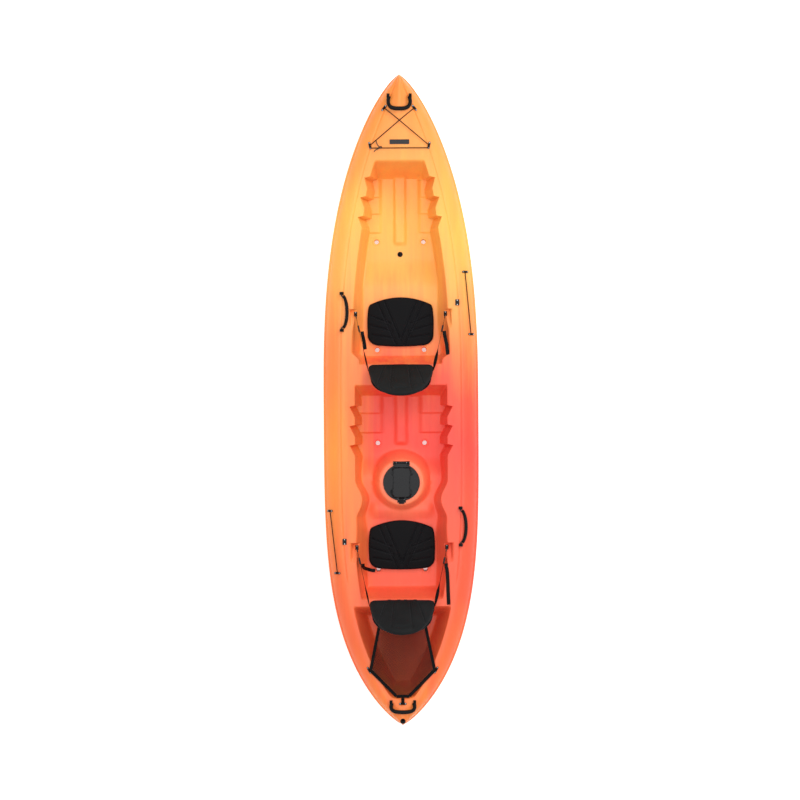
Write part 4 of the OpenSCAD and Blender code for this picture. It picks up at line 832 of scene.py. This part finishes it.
PAD_SEAMS = [((0, -104), (92, 122)), ((26, -128), (128, 108)), ((58, -8), (166, 34)), ((50, -52), (172, -18)),
             ((40, -92), (160, -74))]
BACK_SEAMS = [((44, 34), (58, 236)), ((92, 44), (128, 196)), ((-30, 236), (30, 236))]


def cushion_shape(edge, rings, thick, roll, seams, depth, crown, centre=(0.0, 0.0)):
    """Stuffed pad as (x, y, height) rings: a crowned top whose edge rolls over in a quarter circle, sides, flat base.
    The sewn channels are pressed into the top, and the filling swells between them."""
    rho = np.sin(np.linspace(0.015, np.pi / 2, rings)) ** 0.9
    base = np.array(centre)
    spread = (edge - base)[None] * (1 - roll / 187)
    xy = base + rho[:, None, None] * spread
    x, y = xy[..., 0], xy[..., 1]
    grooves = np.zeros_like(x)
    for a, b in seams:
        for s in (1, -1):
            grooves = np.maximum(grooves, channel(x, y, (s * a[0], a[1]), (s * b[0], b[1]), 9.0))
    swell = crown * (1 - rho[:, None] ** 3)
    z = thick - crown + swell - depth * grooves ** 0.8
    turn = np.linspace(0, np.pi / 2, 7)[1:]
    out = (edge - base)[None] / np.linalg.norm(edge - base, axis=1)[None, :, None]
    roll_xy = xy[-1:] + out * (roll * np.sin(turn))[:, None, None]
    roll_z = z[-1:] - (roll * (1 - np.cos(turn)))[:, None]
    low_xy = np.stack([roll_xy[-1] + 0 * out[0], roll_xy[-1] - 2.5 * out[0], roll_xy[-1] - 9 * out[0]])
    low_z = np.stack([0 * z[-1] + 6.0, 0 * z[-1] + 1.5, 0 * z[-1]])
    return np.concatenate([xy, roll_xy, low_xy]), np.concatenate([z, roll_z, low_z])


def stitches(path, up, pitch=7.0, size=4.4, gauge=0.7):
    """Row of stitches along a path: short rods with rounded ends lying on the cloth."""
    count = max(int(length_of(path) / pitch), 2)
    mid = even(path, count)
    ahead = unit(np.gradient(mid, axis=0))
    across = unit(np.cross(up, ahead))
    lift = np.cross(ahead, across)
    s = np.array([-0.5, -0.42, 0, 0.42, 0.5]) * size
    r = np.array([0.25, 0.8, 1.0, 0.8, 0.25]) * gauge
    a = np.linspace(0, 2 * np.pi, 6, endpoint=False)
    ring = (mid[:, None, None] + s[None, :, None, None] * ahead[:, None, None]
            + (r[:, None] * np.cos(a))[None, :, :, None] * across[:, None, None]
            + (r[:, None] * np.sin(a))[None, :, :, None] * lift[:, None, None])
    one = grid_faces(5, 6, close=True)[:, ::-1]
    faces = (one[None] + (np.arange(count) * 30)[:, None, None]).reshape(-1, 4)
    return ring.reshape(-1, 3), faces


def beside_seams(seams, middle, half, top, crown):
    """Lines of thread, as x, y and height, on both sides of each sewn channel and of its mirror image."""
    for a, b in seams:
        for s in (1, -1):
            for off in (-6.5, 6.5):
                p, q = np.array([s * a[0], a[1]], float), np.array([s * b[0], b[1]], float)
                normal = np.array([p[1] - q[1], q[0] - p[0]]) / np.linalg.norm(q - p)
                line = p + np.linspace(0.03, 0.94, 30)[:, None] * (q - p) + off * normal
                rho = np.clip(np.linalg.norm((line - middle) / half, axis=1), 0, 1)
                yield line[:, 0], line[:, 1], top - crown * rho ** 3


def build_pads():
    """Seat pads: quilted nylon over foam, with V-shaped sewn channels, stitches and a bound edge."""
    edge = pad_edge(240)
    xy, z = cushion_shape(edge, 62, 26.0, 9.0, PAD_SEAMS, bpy.context.scene.kayak_seats.channel_depth, 7.0)
    for which, y0 in (("front", FRONT_PAD), ("rear", REAR_PAD)):
        name, node = which + "_seat_cushion", which + "_seat_pad"
        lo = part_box(node)[0][2] / MM
        points = np.concatenate([xy + [0, y0], z[..., None] + lo], axis=-1).reshape(-1, 3)
        faces = capped_faces(len(z), len(edge))
        pad = add_piece(name, points, faces, "hull", seat_nylon(), "seat_fabric", 0, [node])
        rim = np.concatenate([edge * (1 - 1.2 / 187), np.full((len(edge), 1), 13.0)], axis=1) + [0, y0, lo]
        piping = sweep(rim, (0, 0, 1), round_profile(3.1, 10), closed=True)
        add_piece(name + "_piping", *piping, "hull", webbing_polypropylene(), "webbing", 60)
        rows = [stitches(np.stack([x, y + y0, height + lo], axis=1), (0, 0, 1.0))
                for x, y, height in beside_seams(PAD_SEAMS, (0, 0), (187, 138), 25.45, 7)]
        add_piece(name + "_stitches", *join_shapes(rows), "hull", thread_bonded(), "seat_fabric", 60)


BACK_SIN, BACK_COS = math.sin(math.radians(39)), math.cos(math.radians(39))
HINGE = {"front": (192.554, 276.63), "rear": (-1130.45, 303.436)}


def back_point(which, x, s, w):
    """Point of a backrest from its own axes: x across, s up the back, w forward out of it."""
    y0, z0 = HINGE[which]
    return np.stack([x + 0 * s, y0 - 2 * BACK_COS - s * BACK_SIN + w * BACK_COS,
                     z0 - 2 * BACK_SIN + s * BACK_COS + w * BACK_SIN], axis=-1)


def back_edge(count, inset=0.0):
    """Outline of a backrest: a D, a superellipse arch over a straight foot with round corners."""
    a = np.linspace(0, np.pi, 90)
    c, s = np.cos(a), np.sin(a)
    arch = np.stack([180 * np.sign(c) * np.abs(c) ** 0.86, 52 + 222 * s ** 1.16], axis=1)
    turn = np.linspace(0, np.pi / 2, 10)
    corner = np.stack([-162 - 18 * np.cos(turn), 36 - 18 * np.sin(turn)], axis=1)
    path = eased(even(np.concatenate([arch, corner, corner[::-1] * [-1, 1]]), count, True))
    middle = np.array([0, 130.0])
    d = path - middle
    return middle + d * (1 - inset / np.linalg.norm(d, axis=1, keepdims=True))


def build_backrests():
    """Backrests: D-shaped cushions on their boards, with sewn channels, a bound edge, hinge rods and saddles."""
    middle, forward = (0.0, 130.0), (0, BACK_COS, BACK_SIN)
    edge, rim = back_edge(220), back_edge(220, 1.4)
    depth = bpy.context.scene.kayak_seats.channel_depth * 0.8
    xy, z = cushion_shape(edge, 54, 34.0, 12.0, BACK_SEAMS, depth, 9.0, middle)
    faces = [face[::-1] for face in capped_faces(len(z), len(edge))]
    for which in ("front", "rear"):
        body = which + "_backrest"
        points = back_point(which, xy[..., 0], xy[..., 1], z + 5).reshape(-1, 3)
        cushion = add_piece(which + "_back_cushion", points, faces, body, back_nylon(), "seat_fabric", 0, [body])
        piping = sweep(back_point(which, *rim.T, 18.0), forward, round_profile(3.2, 10), closed=True)
        add_piece(which + "_back_piping", *piping, body, webbing_polypropylene(), "webbing", 60)
        rows = [stitches(back_point(which, *line), forward)
                for line in beside_seams(BACK_SEAMS[:2], middle, (180, 130), 38.5, 9)]
        add_piece(which + "_back_stitches", *join_shapes(rows), body, thread_bonded(), "seat_fabric", 60)
        remade(which + "_backrest_board", nylon_moulded(), 0.8)
        remade(which + "_back_saddles", nylon_moulded(), 0.8)
        remade(which + "_back_rod", steel_turned(), 0.4)


# ---------- straps ----------
EYE_Y = {"front": 485.0, "rear": -835.0}
TWIST = {"starboard": 62.0, "port": 24.0}       # degrees that each strap turns over
SLACK = (0.54, 1.06)                            # between these shares of its length


def strap_line(which, side):
    """Ends of a seat strap: from the hook in its pocket to the foot of the backrest."""
    x, y = side * 254.0, EYE_Y[which]
    eye = np.array([x, y, float(deck_top(np.array(x), np.array(y))) + 17.6])
    end = back_point(which, np.array(side * 183.0), np.array(44.0), np.array(2.0))
    return eye + 24 * unit(end - eye), end


def build_straps():
    """Seat straps of woven webbing, their buckles, eyes and hooks, and the free tails."""
    for which in ("front", "rear"):
        for side, word in ((1, "starboard"), (-1, "port")):
            a, b = strap_line(which, side)
            t = np.linspace(0, 1, 40)
            path = a + t[:, None] * (b - a)
            ahead = unit(b - a)
            level = unit(np.cross((0, 0, 1.0), ahead))
            upright = unit(np.cross(ahead, level))
            slack = np.clip((t - SLACK[0]) / (SLACK[1] - SLACK[0]), 0, 1)
            turn = np.radians(TWIST[word] * np.sin(np.pi * slack) ** 2)[:, None]
            across = np.cos(turn) * upright + side * np.sin(turn) * level
            points, faces = sweep(path, across, strap_profile(20.0, 1.9))
            strap = add_piece(f"{which}_strap_{word}_web", points, faces, None, webbing_polypropylene(), "webbing", 45)
            put_uv(strap, length_of(path), sides=20)
            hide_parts(f"{which}_strap_{word}")
            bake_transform(strap)
            remade(f"{which}_adjuster_{word}", nylon_moulded(), 0.7)
    remade("strap_pad_eyes", nylon_moulded(), 0.5)
    remade("strap_hooks", nylon_moulded(), 0.6)


def cord_plain():
    """Braided handle cord seen bare between grip and cap: black, fine grain instead of a map."""
    return speckled("polyester_handle_cord_braided", "#121213", "#242427", 0.6, 1.8, 0.3, IOR=1.5)


# ---------- tails, lines and small fittings ----------
CORD_R = 2.5
TAILS = {
    "front_tail_starboard": ((246, 388, 268), (248, 368, 268), (253, 345, 262), (259, 317, 262), (262.5, 286, 262),
                             (266, 255, 263.4)),
    "front_tail_port": ((-217, 388, 268), (-215, 370, 267), (-210, 347, 256), (-205, 320, 247), (-201, 287, 241.5)),
    "rear_tail_starboard": ((248, -922, 280), (249, -940, 281), (254, -964, 281.5), (257, -1010, 283),
                            (259, -1078, 286.5), (262, -1154, 291)),
    "rear_tail_port": ((-221, -922, 279), (-219, -938, 270), (-212, -950, 232), (-200, -958, 186), (-184, -965, 160),
                       (-168, -969, 153), (-152, -970, 151.8)),
}


def build_tails():
    """Free tails of the seat straps: limp webbing with a heat-cut end, lying where it fell."""
    for node, stops in TAILS.items():
        path = curve_through(stops, 44)
        ahead = unit(np.gradient(path, axis=0))
        side = unit(np.cross(ahead, (0, 0, 1.0)) + [0, 1e-6, 0])
        points, faces = sweep(path, side, strap_profile(20.0, 1.9))
        tail = add_piece(node + "_web", points, faces, node.replace("tail", "adjuster"), webbing_polypropylene(),
                         "webbing", 45, [node])
        put_uv(tail, length_of(path), sides=20)


def over_deck(points, lift):
    """Straight run between two points, raised wherever it would touch the deck."""
    a, b = (np.array(p, float) for p in points)
    path = a + np.linspace(0, 1, 90)[:, None] * (b - a)
    path[:, 2] = np.maximum(path[:, 2], deck_top(path[:, 0], path[:, 1]) + CORD_R + lift)
    return path


def taut_cord(name, path, replaces=()):
    """Shock cord of 5 mm, held at both ends by the boat's own eyes."""
    side = unit(np.cross(unit(np.gradient(path, axis=0)), (0, 0, 1.0)) + [1e-6, 0, 0])
    points, faces = sweep(path, side, round_profile(CORD_R, 12), round_ends(len(path)))
    cord = add_piece(name, points, faces, "hull", cord_braided(), "cord", 60, replaces)
    put_uv(cord, length_of(path), sides=12)


def build_lines():
    """Deck lines: the bow lacing with its knot, and the paddle keepers."""
    fore, aft = np.array([(85.0, 1637.0, 358.27), (166.0, 1430.0, 331.888)])
    flip = np.array([-1.0, 1.0, 1.0])
    runs = (("lacing_port_to_starboard", (fore, aft * flip), 1.5, ["deck_lacing"]),
            ("lacing_starboard_to_port", (fore * flip, aft), 7.0, []),
            ("lacing_across", ((-166.0, 1415.0, 331.9), (166.0, 1415.0, 331.9)), 1.5, []))
    for name, ends, lift, replaced in runs:
        taut_cord(name, over_deck(ends, lift), replaced)
    knot = np.array((-108.0, 1418.0, 335.06))
    a = np.linspace(0, 2 * np.pi, 60, endpoint=False)
    bight = np.stack([6.0 * np.cos(a) + 1.6 * np.cos(3 * a), 4.2 * np.sin(2 * a), 2.6 * np.sin(3 * a)], axis=1)
    shapes = [sweep(bight + knot + [0, 0, 2.5], (0, 0, 1), round_profile(2.4, 10), closed=True)]
    for stops in ([(-3, 2, 1), (-12, 10, 1), (-20, 26, 0.5), (-22, 38, -0.5)],
                  [(-3, -2, 1), (-14, -8, 0.5), (-26, -14, -0.5), (-36, -25, -1.5)]):
        path = curve_through([knot + s for s in stops], 26)
        shapes.append(sweep(path, (0, 0, 1), round_profile(2.4, 10), round_ends(26)))
    add_piece("lacing_knot_tied", *join_shapes(shapes), "hull", cord_plain(), "cord", 60, ["lacing_knot"])
    for word, stops, replaced in (("starboard", ((366.368, 722.0), (398.574, 370.0)), ["paddle_keeper_cords"]),
                                  ("port", ((-364.605, -975.0), (-405.007, -625.0)), [])):
        ends = [(x, y, float(deck_top(np.array(x), np.array(y))) + 9) for x, y in stops]
        taut_cord("paddle_keeper_" + word, over_deck(ends, 5.5), replaced)
    for node, size in (("bow_pad_eyes", 0.6), ("keeper_eyelets", 0.6), ("paddle_keeper_hooks", 0.8),
                       ("net_pad_eyes", 0.6)):
        remade(node, nylon_moulded(), size)
    remade("fitting_screws", steel_turned(), 0.3)
    plate = speckled("abs_plate_moulded", "#101012", "#1D1D20", 0.3, 2.0, 0.06, **{"Specular IOR Level": 0.3})
    remade("name_plate", plate, 0.5)


# ---------- handles ----------
HANDLES = {"bow": (56.0, 66.0), "stern": (60.0, 50.0), "port": (98.0, 30.0), "starboard": (98.0, 30.0)}


def handle_axes(name):
    """Middle, hinge direction and hang direction of a handle, from its loop's own shape."""
    vertices = NODES[name + "_handle_loop"].data.vertices
    v = np.zeros(len(vertices) * 3)
    vertices.foreach_get("co", v)
    p = v.reshape(-1, 3) / MM
    across = np.array((0, 1.0, 0)) if name in ("port", "starboard") else np.array((1.0, 0, 0))
    along = p @ across
    ends = p[(along > along.max() - 3) | (along < along.min() + 3)]
    middle = ends.mean(axis=0)
    belly = p[np.abs(along - middle @ across) < 14].mean(axis=0)
    hang = belly - middle
    return middle, across, unit(hang - (hang @ across) * across)


def build_handles():
    """Carry handles of ribbed rubber from cap to cap, with a plain grip in the middle: a squared U at bow and stern,
    x(k), y(k) through six points a side, and a flat arch, x = half cos a, y = sag sin a, at the sides."""
    for name, (half, sag) in HANDLES.items():
        middle, across, hang = handle_axes(name)
        replaced = [name + "_handle_grip"]
        if name in ("bow", "stern"):
            arm = np.array([(0.98, 0.05), (1.08, 0.32), (1.08, 0.66), (0.87, 0.95), (0.46, 1.07), (0.0, 1.09)])
            line = curve_through(np.concatenate([arm, arm[-2::-1] * [-1, 1]]), 200)
            line = even(line * [half, sag], 200)
            replaced.append(name + "_handle_loop")
        else:
            a = np.radians(np.linspace(16, 164, 200))
            line = np.stack([(half - 4) * np.cos(a), sag * np.sin(a)], axis=1)
            remade(name + "_handle_loop", cord_plain(), 0)
        path = middle + line[:, :1] * across + line[:, 1:] * hang
        s = np.linspace(0, length_of(path), 200)
        off = np.abs(s / s[-1] - 0.5)
        grip = smooth((0.26 - off) / 0.06)
        ribs = (1 - grip) * 0.9 * np.cos(2 * np.pi * s / 6.5) + grip * 0.25 * np.cos(2 * np.pi * s / 9.0)
        fat = (10.2 if name in ("bow", "stern") else 8.6) + 0.8 * grip + ribs
        shape = sweep(path, np.cross(across, hang), round_profile(1.0, 20), fat * round_ends(200, 6))
        add_piece(name + "_grip_ribbed", *shape, name + "_handle", rubber_moulded(), "handle_rubber", 0, replaced)
    remade("handle_anchors", rubber_moulded(), 0.9)
    rings = []
    for name in HANDLES:
        middle, across, _ = handle_axes(name)
        reach = {"bow": 62, "stern": 66}.get(name, 104)
        for side in (-1, 1):
            for k in (-6.2, -3.1, 0, 3.1, 6.2):
                centre = middle + across * (side * reach + k) + [0, 0, 3]
                a = np.linspace(0, 2 * np.pi, 28, endpoint=False)
                up = np.cross(across, np.cross((0, 0, 1.0), across))
                flat = np.cross(across, up)
                path = centre + 8.1 * (np.cos(a)[:, None] * flat + np.sin(a)[:, None] * up)
                rings.append(sweep(path, across, round_profile(0.95, 8), closed=True))
    add_piece("handle_cap_ribs", *join_shapes(rings), "hull", rubber_moulded(), "handle_rubber", 60)


# ---------- cargo net ----------
NET_ROWS = (-1669.0, -1518.0, -1164.0)          # where the net's edges meet, and its height there
NET_HEIGHTS = (340.45, 326.09, 300.07)


def net_height(y):
    return np.interp(y, NET_ROWS, NET_HEIGHTS)


def build_net():
    """Cargo net: knitted strands crossing at 45 degrees, cut to the six-sided outline, with a webbing edge."""
    sizes = bpy.context.scene.kayak_lines
    gap, strand = sizes.mesh_gap, np.array([(1, 0), (0, 0.34), (-1, 0), (0, -0.34)]) * sizes.strand / 2
    strands = []
    corners = np.array([(109, -1174), (179, -1518), (34, -1657), (-34, -1657), (-179, -1518), (-109, -1174)], float)
    for family, slant in enumerate((1, -1)):
        d = unit(np.array([1.0, slant]))
        n = np.array([-d[1], d[0]])
        reach = corners @ n
        for c in np.arange(reach.min() + gap / 2, reach.max(), gap):
            enter, leave = -1e9, 1e9
            for i in range(6):
                p, q = corners[i], corners[(i + 1) % 6]
                inward = np.array([-(q - p)[1], (q - p)[0]])
                inward = inward if inward @ (np.array([0, -1400.0]) - p) > 0 else -inward
                start, rate = inward @ (n * c - p), inward @ d
                if abs(rate) > 1e-9:
                    cut = -start / rate
                    enter, leave = (max(enter, cut), leave) if rate > 0 else (enter, min(leave, cut))
            if leave - enter > 6:
                count = max(int((leave - enter) / (gap * 0.5)), 3)
                t = np.linspace(enter, leave, count)
                xy = n * c + t[:, None] * d
                phase = np.pi * (t / gap + c / gap + family)
                dip = 3.0 * bump((xy[:, 1] + 1430) / 260) * (1 - (xy[:, 0] / 190) ** 2)
                z = net_height(xy[:, 1]) + 0.3 + 0.45 * np.sin(phase) - dip * 0.4
                strands.append(sweep(np.concatenate([xy, z[:, None]], axis=1), (n[0], n[1], 0), strand))
    net = add_piece("cargo_net_knitted", *join_shapes(strands), "hull", net_polyester(), "net_mesh", 0,
                    ["tankwell_net"])
    hems = []
    loop = np.array([(110, -1172), (180, -1518), (36, -1662), (-36, -1662), (-180, -1518), (-110, -1172)], float)
    for p, q in zip(loop, np.roll(loop, -1, axis=0)):
        path = p + np.linspace(0, 1, 24)[:, None] * (q - p)
        path = np.concatenate([path, net_height(path[:, 1:]) + 2.1], axis=1)
        hems.append(sweep(path, (q[1] - p[1], p[0] - q[0], 0), strap_profile(17.0, 1.7)))
    tab = np.array([(0, -1672.0, 340.5), (0, -1690.0, 356.0), (0, -1704.0, 363.5)])
    hems.append(sweep(curve_through(tab, 12), (1, 0, 0), strap_profile(18.0, 1.7)))
    hem = add_piece("cargo_net_webbing", *join_shapes(hems), "hull", webbing_polypropylene(), "webbing", 45,
                    ["net_webbing"])


# ---------- stage ----------
def build_stage():
    """Pale floor, a large soft light overhead with a stronger one from the bow and starboard, and the camera above."""
    x, y = np.meshgrid(np.linspace(-15000, 15000, 21), np.linspace(-15000, 15000, 21), indexing="xy")
    points = np.stack([x, y, 0 * x - 1.0], axis=-1).reshape(-1, 3)
    material, tree = new_material("studio_floor_painted_white")
    if tree is not None:
        coords = add(tree, "ShaderNodeTexCoord").outputs["Object"]
        grain = add(tree, "ShaderNodeTexNoise", {"Vector": coords, "Scale": 40.0, "Detail": 3.0})
        paint = add(tree, "ShaderNodeValToRGB", {"Fac": grain}, stops=((0.3, "#EFEFEE"), (0.7, "#F4F4F3")))
        shader = add(tree, "ShaderNodeBsdfPrincipled", {
            "Roughness": 0.8, "Base Color": paint, "Emission Strength": 0.47, "Emission Color": linear("#FFFFFF")})
        add(tree, "ShaderNodeOutputMaterial", {"Surface": shader})
    floor = add_piece("studio_floor", points, grid_faces(21, 21), None, material, "hull_plastic", 0)
    scene = bpy.context.scene
    world = bpy.data.worlds.new("studio_air")
    world.use_nodes = True
    back = world.node_tree.nodes["Background"]
    back.inputs["Color"].default_value = linear("#F6F8FB")
    back.inputs["Strength"].default_value = 0.71
    scene.world = world
    scene.view_settings.view_transform = "Standard"
    scene.view_settings.look = "None"
    settings = scene.kayak_stage
    for name, place, size, power in (("overhead_light", (0.0, 0.4, 6.5), 6.0, settings.overhead),
                                     ("bow_light", (3.2, 4.0, 4.2), 2.4, settings.side)):
        data = bpy.data.lights.new(name, "AREA")
        data.energy = power
        data.size = size
        lamp = bpy.data.objects.new(name, data)
        lamp.location = place
        lamp.rotation_euler = (-Vector(place)).to_track_quat("-Z", "Y").to_euler()
        scene.collection.objects.link(lamp)
    camera = bpy.data.objects.new("camera", bpy.data.cameras.new("camera"))
    camera.data.lens = 100.0
    camera.data.sensor_width = 36.0
    camera.data.clip_end = 100.0
    camera.location = (-0.0056, 0.0, 0.3 + settings.view_width * 100 / 36)
    camera.rotation_euler = (0, 0, math.radians(-0.35))
    scene.collection.objects.link(camera)
    scene.camera = camera


# ---------- what a user would change ----------
class KayakFinish(bpy.types.PropertyGroup):
    """Colour flow and skin of the moulded hull."""
    streak_drift: FloatProperty(name="Streak drift", default=0.2, min=0.0, max=0.6, subtype="FACTOR",
                                description="How far the pigment streaks run, as a share of the boat's length")
    peel_size: FloatProperty(name="Orange peel", default=5.0, min=1.0, max=20.0,
                             description="Grain of the moulded skin, in millimetres")


class KayakSeats(bpy.types.PropertyGroup):
    """Quilting of the seats."""
    channel_depth: FloatProperty(name="Channel depth", default=5.5, min=0.0, max=10.0,
                                 description="Depth of the sewn channels, in millimetres")


class KayakLines(bpy.types.PropertyGroup):
    """Cargo net."""
    mesh_gap: FloatProperty(name="Mesh spacing", default=5.6, min=3.0, max=20.0,
                            description="Distance between the strands of the net, in millimetres")
    strand: FloatProperty(name="Strand width", default=2.3, min=0.5, max=5.0,
                          description="Width of one strand of the net, in millimetres")


class KayakStage(bpy.types.PropertyGroup):
    """Studio light and the camera."""
    overhead: FloatProperty(name="Overhead light", default=242.0, min=0.0, unit="POWER",
                            description="Power of the soft light above")
    side: FloatProperty(name="Bow light", default=135.0, min=0.0, unit="POWER",
                        description="Power of the light from the bow")
    view_width: FloatProperty(name="View width", default=4.502, min=1.0, unit="LENGTH",
                              description="Width that the camera takes in at the deck")


def operator(key, label, work, about):
    """An Operator class for one group of pieces; it raises if the work fails."""
    def execute(self, context):
        work()
        return {"FINISHED"}
    name = "KAYAK_OT_" + key
    return type(name, (bpy.types.Operator,), {"__doc__": about, "bl_idname": "kayak." + key, "bl_label": label,
                                              "bl_options": {"REGISTER", "UNDO"}, "execute": execute})


OPERATORS = [operator(*row) for row in (
    ("stage", "Build Stage", build_stage, "Floor, lights and camera"),
    ("skins", "Build Skins", build_skins, "Deck and bottom of the hull"),
    ("scuppers", "Build Scuppers", build_scuppers, "Scupper sleeves with rolled lips"),
    ("plugs", "Build Plugs", build_plugs, "Drain plugs, inserts and foam"),
    ("hatch", "Build Hatch", build_hatch, "Hatch with its domed lid"),
    ("pads", "Build Seat Pads", build_pads, "Quilted seat pads"),
    ("backrests", "Build Backrests", build_backrests, "Backrest cushions, boards and hinges"),
    ("straps", "Build Straps", build_straps, "Seat straps, buckles and hooks"),
    ("tails", "Build Strap Tails", build_tails, "Free tails of the straps"),
    ("handles", "Build Handles", build_handles, "Carry handles and their caps"),
    ("lines", "Build Lines", build_lines, "Lacing, paddle keepers and eyes"),
    ("net", "Build Net", build_net, "Cargo net and its webbing"))]


class KAYAK_PT_panel(bpy.types.Panel):
    """Lists the steps and the sizes."""
    bl_label = "Kayak"
    bl_idname = "KAYAK_PT_panel"
    bl_space_type = "VIEW_3D"
    bl_region_type = "UI"
    bl_category = "Kayak"

    def draw(self, context):
        scene = context.scene
        for group in (scene.kayak_finish, scene.kayak_seats, scene.kayak_lines, scene.kayak_stage):
            for key in group.__annotations__:
                self.layout.prop(group, key)
        for item in OPERATORS:
            self.layout.operator(item.bl_idname)


GROUPS = (("kayak_finish", KayakFinish), ("kayak_seats", KayakSeats), ("kayak_lines", KayakLines),
          ("kayak_stage", KayakStage))


def register():
    for key, group in GROUPS:
        bpy.utils.register_class(group)
        setattr(bpy.types.Scene, key, PointerProperty(type=group))
    for item in (*OPERATORS, KAYAK_PT_panel):
        bpy.utils.register_class(item)


def unregister():
    for item in (KAYAK_PT_panel, *reversed(OPERATORS)):
        bpy.utils.unregister_class(item)
    for key, group in reversed(GROUPS):
        delattr(bpy.types.Scene, key)
        bpy.utils.unregister_class(group)


def main():
    register()
    for item in OPERATORS:
        if getattr(bpy.ops.kayak, item.bl_idname.split(".")[1])() != {"FINISHED"}:
            raise RuntimeError(item.bl_label + " did not finish")
    bpy.context.view_layer.update()


if __name__ == "__main__":
    main()
